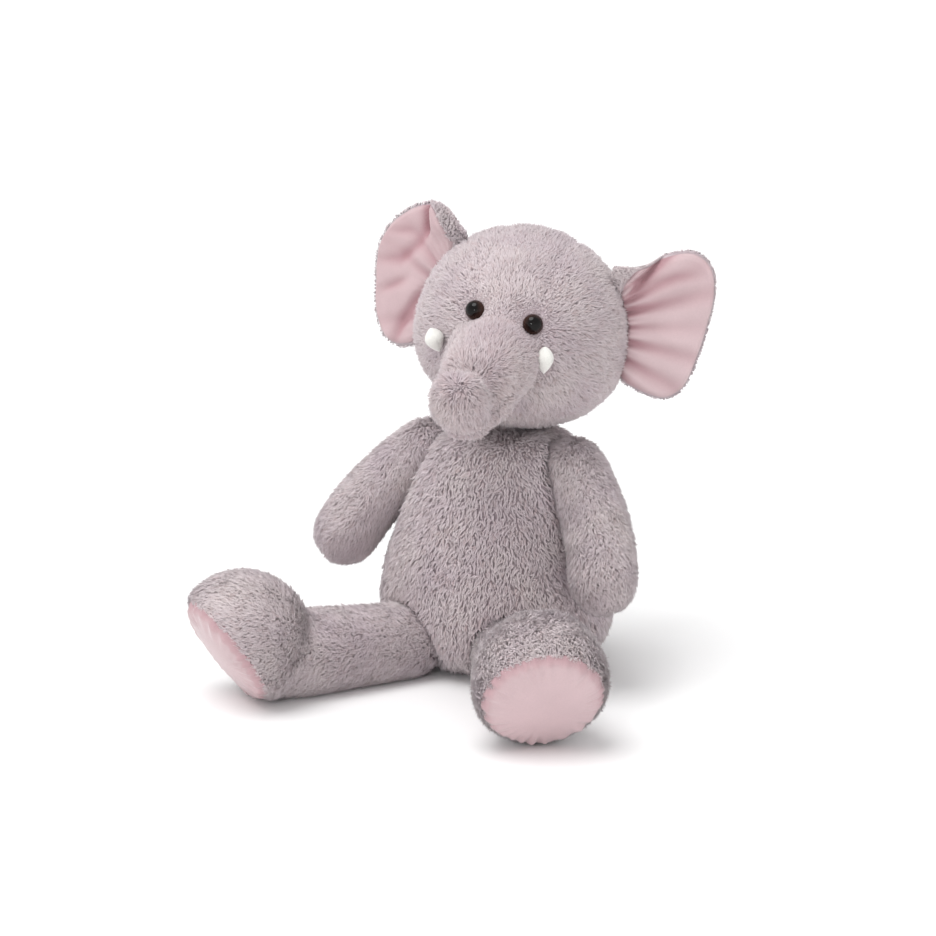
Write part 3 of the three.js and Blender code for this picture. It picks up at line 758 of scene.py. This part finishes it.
def sole(side, hip):
    """The satin sole: a puckered, slightly domed disc, sewn in round its edge."""
    node = f"leg_{side}_sole"
    points, _ = node_mesh(node)
    centre = points.mean(axis=0)
    outward = plane_normal(points, centre - hip)
    up = unit(np.array([0, 0, 1.0]) - outward * outward[2])
    across = np.cross(up, outward)
    flat = np.stack([(points - centre) @ across, (points - centre) @ up], axis=1)
    rim = flat[norms(flat) > 0.6 * norms(flat).max()]
    rim = rim[np.argsort(bearing(rim))]
    angles, reach = bearing(rim), norms(rim)
    front = ((points - centre) @ outward).max()

    def surface(share, angle):
        radius = read_round(angle, angles, reach) + SOLE_REACH
        dome = SOLE_DOME * (1 - share ** 2.5)
        wave = np.sin(PUCKERS * angle + 3 * np.sin(3 * angle)) * (1 + 0.6 * np.sin(7 * angle + 1))
        pucker = PUCKER_DEPTH * wave * smooth_step(share, 0.55, 0.9)
        sunk = SOLE_TUCK * smooth_step(share, 0.9, 1.0)
        return share * radius, dome + pucker - sunk

    piece = satin_disc(node + "_satin", surface, thickness=1.2 * MM, steps_round=160, steps_out=24)
    local = points_of(piece.data)
    share = norms(local[:, :2]) / read_round(bearing(local), angles, reach)
    # Painted shade: the whole sole is painted a little deeper pink, and darker still towards its tucked-in
    # edge.
    mark_painted_shade(piece, 0.12 + 0.6 * smooth_step(share, 0.88, 1.02))
    axes = np.stack([across, up, outward], axis=1)
    points = local @ axes.T + centre + outward * (front - 1 * MM)
    points[:, 2] = above_floor(points[:, 2])
    set_points(piece.data, points)
    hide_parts(node)
    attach(piece, f"leg_{side}")


def mark_painted_shade(piece, folds):
    """Records how much painted shade each point of the satin gets, from 0 to 1: deeper pink in folds,
    creases and where less light falls.
    """
    mark(piece, "fold", np.clip(folds, 0, 1))


def satin_disc(name, surface, thickness, steps_round, steps_out):
    """A closed thin disc in its own plane. surface(share, angle) gives a point's radius and height."""
    angles = np.linspace(0, TURN, steps_round, endpoint=False) - math.pi
    layers = []
    for lift in (0, -thickness):
        _, middle = surface(np.array([0.0]), np.array([0.0]))
        layers.append([[0, 0, middle[0] + lift]])
        for share in np.linspace(0, 1, steps_out + 1)[1:]:
            radius, height = surface(np.full(steps_round, share), angles)
            layers.append(np.column_stack([radius[:, None] * circle(angles), height + lift]))
    return make_object(name, np.concatenate(layers), disc_faces(steps_round, steps_out), SATIN)


def disc_faces(steps_round, steps_out):
    """Faces of a closed disc of two layers, each with its middle point first and then its rings."""
    count = 1 + steps_out * steps_round
    faces = []
    for ring in range(steps_out - 1):
        a, b = 1 + ring * steps_round, 1 + (ring + 1) * steps_round
        for j in range(steps_round):
            k = (j + 1) % steps_round
            faces.append((a + j, b + j, b + k, a + k))
            faces.append((count + a + k, count + b + k, count + b + j, count + a + j))
    rim = count - steps_round
    for j in range(steps_round):
        k = (j + 1) % steps_round
        faces.append((rim + j, count + rim + j, count + rim + k, rim + k))
    for j in range(0, steps_round, 2):
        k, m = (j + 1) % steps_round, (j + 2) % steps_round
        faces.append((0, 1 + j, 1 + k, 1 + m))
        faces.append((count, count + 1 + m, count + 1 + k, count + 1 + j))
    return faces


# ---------------------------------------------------------------- head

NECK, HEAD_X = joint_place("head_nod")
_, HEAD_Z = joint_place("ear_left_flap")
HEAD_Y = np.cross(HEAD_Z, HEAD_X)
HEAD_AXES = np.stack([HEAD_X, HEAD_Y, HEAD_Z], axis=1)


def centre_of(node):
    low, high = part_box(node)
    return np.array((low + high) / 2)


def clear_round(places):
    """Keeps pile off hard trim: none under it, and short pile just outside it."""
    def keep(points, normals, lengths):
        kept = np.ones(len(points), bool)
        for centre, radius in places:
            gap = norms(points - centre)
            kept &= gap > radius
            lengths = lengths * rising_share(0.26, gap, radius, radius + 13 * MM)
        return kept, lengths
    return keep


CHEEK_SWELL = 0.055  # how much wider the cheeks are than the CAD head, as a share
DIMPLE_DEPTH, DIMPLE_WIDTH = 4.5 * MM, 8 * MM
FOLD_DEPTH, FOLD_PLACE, FOLD_WIDTH = 8 * MM, 2 * MM, 6 * MM  # the fold just past the trunk's bend
KNOB_HEIGHT, KNOB_PLACE, KNOB_WIDTH = 0.5 * MM, 22 * MM, 10 * MM  # the swelling after the fold
MUZZLE_CREASE, MUZZLE_BULGE = 1.5 * MM, 4 * MM


def head_shape(points):
    """Fuller cheeks than the plain ellipsoid, a fold behind the trunk's tip and a dimple in its end."""
    middle = node_mesh("head_filling")[0].mean(axis=0)
    local = (points - middle) @ HEAD_AXES
    low = smooth_step(-local[:, 2], -10 * MM, 45 * MM) * smooth_step(local[:, 2], -92 * MM, -70 * MM)
    local[:, 0] *= 1 + CHEEK_SWELL * low * smooth_step(np.abs(local[:, 0]), 40 * MM, 70 * MM)
    points = middle + local @ HEAD_AXES.T
    disc = centre_of("trunk_tip_disc")
    outward = unit(disc - centre_of("trunk_tip_filling"))
    ahead, out = about_axis(points, disc, outward)
    dimple = DIMPLE_DEPTH * bell(norms(out), DIMPLE_WIDTH) * smooth_step(ahead, -20 * MM, -8 * MM)
    points = points - outward * dimple[:, None]
    ahead, out = past_elbow(points)
    near = 1 - smooth_step(norms(out), 34 * MM, 44 * MM)
    fold = FOLD_DEPTH * bell(ahead - FOLD_PLACE, FOLD_WIDTH) * near
    knob = KNOB_HEIGHT * bell(ahead - KNOB_PLACE, KNOB_WIDTH) * near
    points = points + unit(out) * (knob - fold)[:, None]
    return points + muzzle_step(points, middle)


def past_elbow(points):
    """How far points are past the trunk's bend towards its tip, and their offsets from the tip's axis."""
    elbow, _ = joint_place("trunk_curl")
    onward = unit(centre_of("trunk_tip_disc") - centre_of("trunk_tip_filling"))
    return about_axis(points, elbow, onward)


def muzzle_step(points, middle):
    """The muzzle's stuffing stands proud of the face just past the seam where they meet."""
    shell = np.concatenate([node_mesh(f"head_{side}_panel")[0] for side in ("left", "right")])
    radii = np.abs((shell - middle) @ HEAD_AXES).max(axis=0)
    proud = (norms((points - middle) @ HEAD_AXES / radii) - 1) * radii.mean()
    elbow, _ = joint_place("trunk_curl")
    ahead, out = about_axis(points, middle, unit(elbow - middle))
    near = smooth_step(ahead, 40 * MM, 60 * MM) * (1 - smooth_step(norms(out), 50 * MM, 62 * MM))
    crease = MUZZLE_CREASE * bell(proud, 4 * MM)
    bulge = MUZZLE_BULGE * smooth_step(proud, 2 * MM, 10 * MM)
    bulge = bulge * (1 - smooth_step(proud, 20 * MM, 45 * MM))
    return unit(out) * (near * (bulge - crease))[:, None]


def elbow_fill():
    """A ball of cloth at the trunk's bend, where the CAD leaves room for it to curl."""
    elbow, _ = joint_place("trunk_curl")
    tip = centre_of("trunk_tip_panel")
    root = centre_of("trunk_top_panel")
    middle = elbow + 0.12 * (tip - elbow) + 0.06 * (root - elbow)
    steps = 16
    radius = 21 * MM
    ring = circle(np.linspace(0, TURN, steps, endpoint=False))
    rows = []
    for latitude in np.linspace(-math.pi / 2, math.pi / 2, steps):
        level = np.full(steps, math.sin(latitude))
        rows.append(np.column_stack([math.cos(latitude) * ring, level]))
    faces = []
    for i in range(steps - 1):
        for j in range(steps):
            k = (j + 1) % steps
            faces.append((i * steps + j, i * steps + k, (i + 1) * steps + k, (i + 1) * steps + j))
    return np.concatenate(rows) * radius + middle, faces


EYE_CLEARANCE = 9.6 * MM
TUSK_CLEARANCE = 5 * MM
BROW = np.array([0, -92, 100]) * MM  # where the face's pile parts, in the head's axes from the neck
BRIDGE = np.array([0, -4, 34]) * MM  # where the muzzle's pile parts, from the trunk's bend
BEND_SHARE = 0.45  # a share of the tip's length, measured from the trunk's hinge


def head():
    """Head and trunk as one skin, with pile kept off hard trim."""
    head_panels = ["head_left_panel", "head_right_panel", "head_gusset"]
    trunk_panels = ["trunk_top_panel", "trunk_under_panel", "trunk_tip_panel", "trunk_tip_disc"]
    panels = head_panels + trunk_panels
    fillings = ["head_filling", "trunk_filling", "trunk_tip_filling"]
    skin = stuffed_skin("head", panels, fillings, [elbow_fill()], head_shape)
    back = away_from(NECK + HEAD_AXES @ BROW)
    hard = []
    for side in ("left", "right"):
        hard.append((centre_of(f"eye_{side}"), EYE_CLEARANCE))
        hard.append((tusk_root(side), TUSK_CLEARANCE))
    clear = clear_round(hard)

    def keep(points, normals, lengths):
        ahead, _ = past_elbow(points)
        in_fold = bell(ahead - 1 * MM, FOLD_WIDTH)
        return clear(points, normals, lengths * (1 - 0.5 * in_fold))

    # The head's pile is painted darker by its tone of 0.8: partly a browner colour, partly painted shade.
    furred_panels(skin, "head", {panel: back for panel in head_panels},
                  {"head_gusset": ["head_filling"]}, keep=keep, tone=0.8)
    elbow, _ = joint_place("trunk_curl")
    disc = centre_of("trunk_tip_disc")
    end = away_from(disc + (disc - elbow) * 0.2)
    bridge = away_from(elbow + HEAD_AXES @ BRIDGE)
    flows = dict(zip(trunk_panels, (bridge, bridge, end, end)))
    # The trunk's pile is painted darker by its tone of 0.5: partly a browner colour, partly painted shade.
    pieces = furred_panels(skin, None, flows, {
        "trunk_under_panel": ["trunk_filling"], "trunk_tip_panel": ["trunk_tip_filling"],
    }, keep=keep, tone=0.5)
    end = elbow + (disc - elbow) * BEND_SHARE
    for piece in pieces.values():
        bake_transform(piece)


def tusk_root(side):
    """The tusk's sewn end: its lowest point in the head's own frame."""
    points, _ = node_mesh(f"tusk_{side}")
    heights = (points - NECK) @ HEAD_AXES[:, 2]
    return points[heights < heights.min() + 4 * MM].mean(axis=0)


def revolved(name, outline, origin, axis, material, steps=48):
    """A closed solid of revolution from (radius, height) points that start and end on the axis."""
    side = unit(np.cross(axis, HEAD_X + 0.3 * HEAD_Z))
    across = np.cross(axis, side)
    round_axis = circle(np.linspace(0, TURN, steps, endpoint=False)) @ np.stack([side, across])
    rows = [[origin + axis * outline[0][1]]]
    rows += [origin + round_axis * radius + axis * height for radius, height in outline[1:-1]]
    rows.append([origin + axis * outline[-1][1]])
    points = np.concatenate(rows)
    faces = []
    last = len(points) - 1
    for j in range(steps):
        k = (j + 1) % steps
        faces.append((0, 1 + k, 1 + j))
        for ring in range(len(outline) - 3):
            a, b = 1 + ring * steps, 1 + (ring + 1) * steps
            faces.append((a + j, a + k, b + k, b + j))
        faces.append((last - steps + j, last - steps + k, last))
    return make_object(name, points, faces, material)


EYE_SHARE = 0.91  # the eye's radius, as a share of its CAD node's
EYE_RIM = 1.2 * MM  # height of the rolled rim
SHANK_RADIUS = 2.2 * MM


def eyes():
    """Safety eyes: a domed head with a small rolled rim, on a shank that goes in through the cloth."""
    for side in ("left", "right"):
        node = f"eye_{side}"
        points, _ = node_mesh(node)
        washer = centre_of(f"eye_washer_{side}")
        axis = unit(centre_of(node) - washer)
        heights, out = about_axis(points, washer, axis)
        spread = norms(out)
        base = heights[spread > 0.9 * spread.max()].min()
        radius = spread.max() * EYE_SHARE
        top = heights.max() - 0.5 * MM
        shank = [(0, 0), (SHANK_RADIUS, 0), (SHANK_RADIUS, base - 0.5 * MM)]
        rim = [(radius * 0.8, base - 0.4 * MM), (radius * 0.97, base), (radius, base + EYE_RIM / 2),
               (radius * 0.99, base + EYE_RIM)]
        rise = top - base - EYE_RIM
        dome = [(radius * 0.99 * math.cos(a), base + EYE_RIM + rise * math.sin(a))
                for a in np.linspace(0, math.pi / 2, 14)[1:-1]]
        piece = revolved(node + "_dome", [*shank, *rim, *dome, (0, top)], washer, axis, EYE)
        _, out = about_axis(points_of(piece.data), washer, axis)
        mark(piece, "out", norms(out) / radius)
        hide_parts(node)
        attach(piece, "head")
        frame["nodes"][f"eye_washer_{side}"].data.materials.clear()
        frame["nodes"][f"eye_washer_{side}"].data.materials.append(WASHER)


TUSK_ROOT = 2 * MM  # how deep a tusk's point goes in through the cloth
TUSK_GROOVE = 0.9 * MM
FELT_LUMPS = 5 * MM  # size of the uneven places in the felt


def tusks():
    """Felt tusks: stuffed teardrops, pointed where they are sewn on, with a seam down each side."""
    for side in ("left", "right"):
        node = f"tusk_{side}"
        points, _ = node_mesh(node)
        root = tusk_root(side)
        middle = points.mean(axis=0)
        axis = unit(middle - root)
        heights, out = about_axis(points, root, axis)
        length = heights.max()
        radius = norms(out).max()
        outline = [(0, -TUSK_ROOT)]
        for t in np.linspace(0.0, 1, 26)[1:-1]:
            width = radius * math.sin(math.pi * t ** 1.2) ** 0.78
            outline.append((width, -TUSK_ROOT + t * (length + TUSK_ROOT)))
        outline.append((0, length))
        piece = revolved(node + "_felt", outline, root, axis, WHITE_FELT)
        drawn_in_seam(piece, root, axis, radius)
        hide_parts(node)
        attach(piece, "head")


def drawn_in_seam(piece, root, axis, radius):
    """Flattens a tusk a little and draws in its two side seams, with the felt uneven between them."""
    points = points_of(piece.data)
    _, out = about_axis(points, root, axis)
    seam_way = unit(np.cross(axis, HEAD_Y))
    side = np.abs(unit(out) @ seam_way)
    groove = TUSK_GROOVE * np.exp(-((1 - side) / 0.02)) * np.minimum(1, norms(out) / radius)
    uneven = np.array([noise.noise(p / FELT_LUMPS) for p in points]) * 0.2 * MM
    set_points(piece.data, points + unit(out) * (uneven - groove)[:, None])


# ---------------------------------------------------------------- ears

def inside_outline(outline, centre, angles):
    """How far an outline reaches from a centre at each angle."""
    offset = outline - centre
    offset = offset[np.argsort(bearing(offset))]
    return read_round(angles, bearing(offset), norms(offset))


# Each ear's folds in its own plane, in mm out from the pivot and up: the edge of the satin at the
# folded top, the valley beside it, (line, depth, width) creases and (angle, depth) root pleats.
EAR_FOLDS = {
    "left": {
        "strip": [(-14, -60), (-13, 40), (-12, 52), (-7, 64), (2, 76), (9, 88), (14, 98), (20, 120)],
        "valley": [(-8, 42), (3, 60), (13, 74), (25, 91), (30, 100)],
        "creases": [([(12, 58), (34, 70), (58, 76)], 1.8, 5)],
        "pleats": [(-33, 3.6), (-19, 5.0), (-3, 5.6), (11, 3.2), (25, 6.0), (36, 4.0)],
        "gathers": 1.2,
    },
    "right": {
        "strip": [(-46, -60), (-30, 50), (-13, 70), (-2, 82), (13, 93), (20, 99), (26, 120)],
        "valley": [(14, 56), (16, 74), (19, 86), (24, 97)],
        "creases": [
            ([(-9, 23), (11, 0), (22, -19), (29, -47)], 5.0, 6),
            ([(13, 70), (23, 50), (40, 32), (62, 26)], 3.4, 6),
            ([(28, 16), (54, -2)], 2.8, 5),
            ([(30, 62), (56, 56)], 2.2, 5),
        ],
        "pleats": [(-20, 2.4), (20, 2.4), (34, 2.0)],
        "gathers": 0.4,
    },
}


def off_line(flat, line):
    """Distance from a bent line, positive on its right, and how far along it the nearest place is."""
    line = np.array(line, float) * MM
    lengths = norms(np.diff(line, axis=0))
    before = np.concatenate([[0], np.cumsum(lengths)])
    gaps = np.full(len(flat), np.inf)
    along = np.zeros(len(flat))
    for start, end, length, reached in zip(line[:-1], line[1:], lengths, before[:-1]):
        way = (end - start) / length
        share = np.clip((flat - start) @ way, 0, length)
        offset = flat - start - share[:, None] * way
        gap = norms(offset)
        gap = np.where(way[1] * offset[:, 0] < way[0] * offset[:, 1], -gap, gap)
        nearer = np.abs(gap) < np.abs(gaps)
        gaps = np.where(nearer, gap, gaps)
        along = np.where(nearer, (reached + share) / before[-1], along)
    return gaps, along


VALLEY_DEPTH, VALLEY_WIDTH = 11 * MM, 3.2 * MM
PLEAT_WIDTH = 3.8  # degrees round the ear's root
PLEAT_START = np.array([-54, 5]) * MM  # where the lines of the root's pleats would meet
PLEAT_LENGTH = 32 * MM
GATHERS = 62  # small gathers in a full turn round the root
EAR_FLAP = 9 * MM  # how far the folded top stands forward
EAR_CUP = 8 * MM  # how far the rim stands forward
EAR_WIDTH = 72 * MM
SAG_DEPTH, SAG_SIZE = 2 * MM, 24 * MM  # uneven hollows in the cloth


class EarShape:
    """One ear's plane: out, up and forward from its pivot, and the folds that bend cloth out of it."""

    def __init__(self, side):
        self.side = side
        self.sign = 1 if side == "left" else -1
        self.pivot, axis = joint_place(f"ear_{side}_flap")
        self.up = axis * self.sign
        points, _ = node_mesh(f"ear_{side}_back")
        self.forward = plane_normal(points, -HEAD_Y)
        out = np.cross(self.up, self.forward)
        self.out = out * np.sign(out @ HEAD_X * self.sign)
        self.outline = self.flat(points)

    def flat(self, points):
        offset = points - self.pivot
        return np.stack([offset @ self.out, offset @ self.up], axis=1)

    def place(self, flat, height):
        return (self.pivot + np.outer(flat[:, 0], self.out) + np.outer(flat[:, 1], self.up)
                + np.outer(height, self.forward))

    def past_strip(self, flat):
        """Distance outward from the edge of the satin where the top of the ear folds forward."""
        return off_line(flat, EAR_FOLDS[self.side]["strip"])[0]

    def creases(self, flat):
        """How deep the cloth is drawn in by the valley, the creases and the pleats of the root."""
        folds = EAR_FOLDS[self.side]
        past, along = off_line(flat, folds["valley"])
        depth = VALLEY_DEPTH * np.exp(-np.abs(past) / VALLEY_WIDTH) * smooth_step(along, 0, 0.35)
        for line, deep, width in folds["creases"]:
            gap, along = off_line(flat, line)
            fade = np.sin(math.pi * np.clip(0.12 + 0.76 * along, 0, 1))
            depth += deep * MM * fade * bell(gap, width * MM)
        ray = np.degrees(bearing(flat - PLEAT_START))
        near = np.exp(-np.maximum(flat[:, 0], 0) / PLEAT_LENGTH)
        for angle, deep in folds["pleats"]:
            depth += deep * MM * (0.2 + near) * bell(ray - angle, PLEAT_WIDTH)
        return depth + folds["gathers"] * MM * (1 + np.cos(np.radians(ray) * GATHERS)) * near ** 4

    def rise(self, flat):
        """How far the cloth stands forward of the ear's plane."""
        past, along = off_line(flat, EAR_FOLDS[self.side]["valley"])
        flap = EAR_FLAP * smooth_step(-past, 0, 13 * MM) * smooth_step(along, 0, 0.5)
        cup = EAR_CUP * (np.clip(flat[:, 0], 0, None) / EAR_WIDTH) ** 2
        sag = np.array([noise.noise((*(place / SAG_SIZE), 3.0 * self.sign)) for place in flat])
        return flap + cup + SAG_DEPTH * sag - self.creases(flat)


OUTLINE_SECTORS = 180


def outline_loop(points, centre):
    """The outline in order round a centre, in even short steps between its furthest corners."""
    around = bearing(points - centre)
    reach = norms(points - centre)
    sectors = np.round(around / TURN * OUTLINE_SECTORS).astype(int) % OUTLINE_SECTORS
    best = {}
    for index, sector in enumerate(sectors):
        if sector not in best or reach[index] > reach[best[sector]]:
            best[sector] = index
    corners = points[sorted(best.values(), key=lambda index: around[index])]
    corners = np.concatenate([corners, corners[:1]])
    reached = np.concatenate([[0], np.cumsum(norms(np.diff(corners, axis=0)))])
    steps = np.arange(0, reached[-1], 2 * MM)
    return np.stack([np.interp(steps, reached, corners[:, axis]) for axis in (0, 1)], axis=1)


def sewn_in(loop):
    """Carries the ear's root on through the pile to the head's cloth."""
    root = smooth_step(-loop[:, 0], -14 * MM, 0) * smooth_step(-loop[:, 1], -78 * MM, -66 * MM)
    return loop - np.outer(root, (7 * MM, 0))


def ears():
    """The ears: a satin lining in front of a furred back, both folded alike."""
    for side in ("left", "right"):
        shape = EarShape(side)
        loop = sewn_in(outline_loop(shape.outline, EAR_MIDDLE))
        ear_lining(shape, loop)
        ear_back(shape, loop)


FRINGE = {"left": 0.3, "right": 0.5}  # pile length at each ear's rim, as a share of the rest
FRONT_SIDE = -1.7 * MM  # cloth that stands further forward than this is on the front of the slab
SLAB_BACK = 1.4 * MM  # how far the slab's middle lies behind the ear's own surface
SLAB_HALF = 2.6 * MM  # half its thickness in the middle
EAR_ROOT = np.array([-30, 0]) * MM
BACKWARD_LEAN = 7 * MM
EAR_PAINTED_SHADE = {"left": 0.0, "right": 0.16}  # painted shade: how much deeper the pink of a whole ear is painted, for less light falling on it
LINING_INSET = 1.8 * MM
LINING_LIFT = 3 * MM  # how far the satin lies in front of the ear's middle
LINING_TUCK = 2.2 * MM  # how far its edge turns in
EAR_MIDDLE = np.array([32, 22]) * MM
LINING_MIDDLE = np.array([38, 14]) * MM


def lining_reach(shape, loop, centre, angles):
    """How far the satin reaches: to just inside the ear's edge, or to a strip past the fold."""
    reach = inside_outline(loop, centre, angles) - LINING_INSET
    for index, angle in enumerate(angles):
        way = circle(np.array([angle]))[0]
        steps = np.linspace(0, reach[index], 60)
        beyond = np.flatnonzero(shape.past_strip(centre + np.outer(steps, way)) < 0)
        if len(beyond):
            reach[index] = steps[beyond[0]]
    return np.maximum(reach, 5 * MM)


def ear_lining(shape, loop):
    """The ear's satin lining: one sheet over the front of the ear, drawn into its folds."""
    node = f"ear_{shape.side}_lining"
    angles = np.linspace(-math.pi, math.pi, 240, endpoint=False)
    reach = lining_reach(shape, loop, LINING_MIDDLE, angles)
    reach = np.convolve(np.concatenate([reach[-3:], reach, reach[:3]]), np.ones(7) / 7, "valid")

    def surface(share, angle):
        radius = share * read_round(angle, angles, reach)
        flat = LINING_MIDDLE + radius[:, None] * circle(angle)
        return radius, shape.rise(flat) + LINING_LIFT - LINING_TUCK * smooth_step(share, 0.93, 1.0)

    piece = satin_disc(node + "_satin", surface, thickness=1 * MM, steps_round=240, steps_out=40)
    local = points_of(piece.data)
    flat = LINING_MIDDLE + local[:, :2]
    set_points(piece.data, shape.place(flat, local[:, 2]))
    # Painted shade: deeper pink in the creases, and over the whole of the right ear.
    mark_painted_shade(piece, EAR_PAINTED_SHADE[shape.side] + shape.creases(flat) / (5 * MM))
    if shape.sign < 0:
        piece.data.flip_normals()
    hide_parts(node)
    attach(piece, f"ear_{shape.side}")
    width, height = np.ptp(LINING_MIDDLE + reach[:, None] * circle(angles), axis=0)


def ear_slab(shape, loop):
    """The ear's padded back without its pile, sunk in front where the satin lies on it."""
    steps_round, steps_out = 150, 26
    angles = np.linspace(-math.pi, math.pi, steps_round, endpoint=False)
    reach = inside_outline(loop, EAR_MIDDLE, angles)
    shares = np.linspace(0, 1, steps_out + 1)[1:]
    rings = [EAR_MIDDLE + share * reach[:, None] * circle(angles) for share in shares]
    flat = np.concatenate([EAR_MIDDLE[None], *rings])
    share = np.concatenate([[0], np.repeat(shares, steps_round)])
    middle = shape.rise(flat) - SLAB_BACK
    half = SLAB_HALF * np.sqrt(1 - 0.96 * share ** 6)
    sunk = 0.9 * half * smooth_step(shape.past_strip(flat), 0, 5 * MM)
    points = np.concatenate([shape.place(flat, middle + half - sunk), shape.place(flat, middle - half)])
    quads = disc_faces(steps_round, steps_out)
    if shape.sign < 0:
        quads = [tuple(reversed(quad)) for quad in quads]
    slab = make_object("ear_slab", points, quads)
    skin = Skin(slab.data)
    remove(slab)
    return skin


def ear_back(shape, loop):
    """The ear's furred back, whose pile wraps over the edge and the folded root."""
    node = f"ear_{shape.side}_back"
    skin = ear_slab(shape, loop)
    span = np.linspace(-math.pi, math.pi, 120, endpoint=False)
    limits = lining_reach(shape, loop, LINING_MIDDLE, span) + 1.2 * MM
    edges = inside_outline(loop, LINING_MIDDLE, span)

    def keep(points, normals, lengths):
        offset = shape.flat(points) - LINING_MIDDLE
        way, reach = bearing(offset), norms(offset)
        covered = (reach < read_round(way, span, limits)) & (normals @ shape.forward > 0)
        inside = read_round(way, span, edges) - reach
        return ~covered, lengths * rising_share(FRINGE[shape.side], inside, 1 * MM, 8 * MM)

    def flow(points):
        """Pile lies away from the satin in front, away from the root behind, and leans back."""
        local = shape.flat(points)
        height = (points - shape.pivot) @ shape.forward - shape.rise(local)
        start = np.where((height > FRONT_SIDE)[:, None], LINING_MIDDLE, EAR_ROOT)
        way = local - start
        return (np.outer(way[:, 0], shape.out) + np.outer(way[:, 1], shape.up)
                - shape.forward * BACKWARD_LEAN)

    # The ear's pile is painted lighter by its tone of 1.25: painted light on the ear's back and rim.
    piece = furred(node + "_fur", skin, np.arange(len(skin.quads)), flow, length=8 * MM, keep=keep,
                   tone=1.25, facing=shape.forward)
    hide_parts(node)
    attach(piece, f"ear_{shape.side}")


# ---------------------------------------------------------------- tail and neck

def tail():
    """The tail and its tuft: a stuffed roll, furred like the rest."""
    skin = stuffed_skin("tail", ["tail", "tail_tuft"])
    flows = {"tail": towards((0, 0.2, -1)), "tail_tuft": towards((0, 0.1, -1))}
    furred_panels(skin, "tail", flows, length=7 * MM)


def neck():
    """The neck: cloth gathered up round its wad of filling, between the torso and the head."""
    skin = stuffed_skin("neck", ["neck_filling"])
    furred_panels(skin, "neck", {"neck_filling": towards((0, 0, -1))}, length=8 * MM)


# ---------------------------------------------------------------- camera, light and floor

VIEW_AZIMUTH = 26.5
VIEW_ELEVATION = 12.5
VIEW_DISTANCE = 2.1
VIEW_TARGET = Vector((-0.024, -0.012, 0.190))
VIEW_ANGLE = 24.0


def look_at(thing, target):
    thing.rotation_mode = "QUATERNION"
    thing.rotation_quaternion = (target - thing.location).to_track_quat("-Z", "Y")


def camera():
    """The camera, placed from the photograph's angles."""
    data = bpy.data.cameras.new("camera")
    data.angle = math.radians(VIEW_ANGLE)
    made = add_to_scene("camera", data)
    a, e = math.radians(VIEW_AZIMUTH), math.radians(VIEW_ELEVATION)
    back = Vector((math.sin(a) * math.cos(e), -math.cos(a) * math.cos(e), math.sin(e)))
    made.location = VIEW_TARGET + back * VIEW_DISTANCE
    look_at(made, VIEW_TARGET)
    bpy.context.scene.camera = made


def light(name, kind, place, target, power):
    """A lamp that points at a target. Returns its data, for its size to be set."""
    data = bpy.data.lights.new(name, kind)
    data.energy = power
    made = add_to_scene(name, data)
    made.location = place
    look_at(made, Vector(target))
    return data


KEY_PLACE = Vector((-0.12, -0.30, 0.94)) * 3
KEY_STRENGTH = 1.75
GLINT_PLACE = (0.35, -1.9, 0.75)  # seen as the highlight in the eyes
GLINT_SIZE = 0.09
GLINT_POWER = 3.5
SKY = ((0.2, 1.0), (0.45, 0.7))  # height and brightness: white at the horizon, softer above
FLOOR_SIZE = 120


def studio():
    """A white room: a pale floor without a visible edge, a soft key light and a small one for the eyes."""
    world = bpy.data.worlds.new("studio")
    bpy.context.scene.world = world
    world.use_nodes = True
    nodes, links = world.node_tree.nodes, world.node_tree.links
    split = nodes.new("ShaderNodeSeparateXYZ")
    sky = nodes.new("ShaderNodeValToRGB")
    for element, (height, level) in zip(sky.color_ramp.elements, SKY):
        element.position = height
        element.color = (level, level, level, 1)
    links.new(nodes.new("ShaderNodeTexCoord").outputs["Generated"], split.inputs["Vector"])
    links.new(split.outputs["Z"], sky.inputs["Fac"])
    links.new(sky.outputs["Color"], nodes["Background"].inputs["Color"])
    light("key", "SUN", KEY_PLACE, (0, 0, 0), KEY_STRENGTH).angle = math.radians(40)
    light("glint", "AREA", GLINT_PLACE, (0, 0, 0.2), GLINT_POWER).size = GLINT_SIZE
    recipe = Recipe("pale_floor", roughness=0.9, specular=0.1)
    recipe.colour(recipe.ramp(recipe.noise(0.5), [(0, grey(0.93)), (1, grey(0.95))]))
    corners = np.array([(-1, -1, 0), (1, -1, 0), (1, 1, 0), (-1, 1, 0)]) * FLOOR_SIZE
    floor = make_object("floor", corners, [(0, 1, 2, 3)], recipe.material)
    bpy.context.scene.view_settings.view_transform = "Standard"


camera()
torso()
head()
eyes()
tusks()
ears()
arms()
legs()
tail()
neck()
studio()
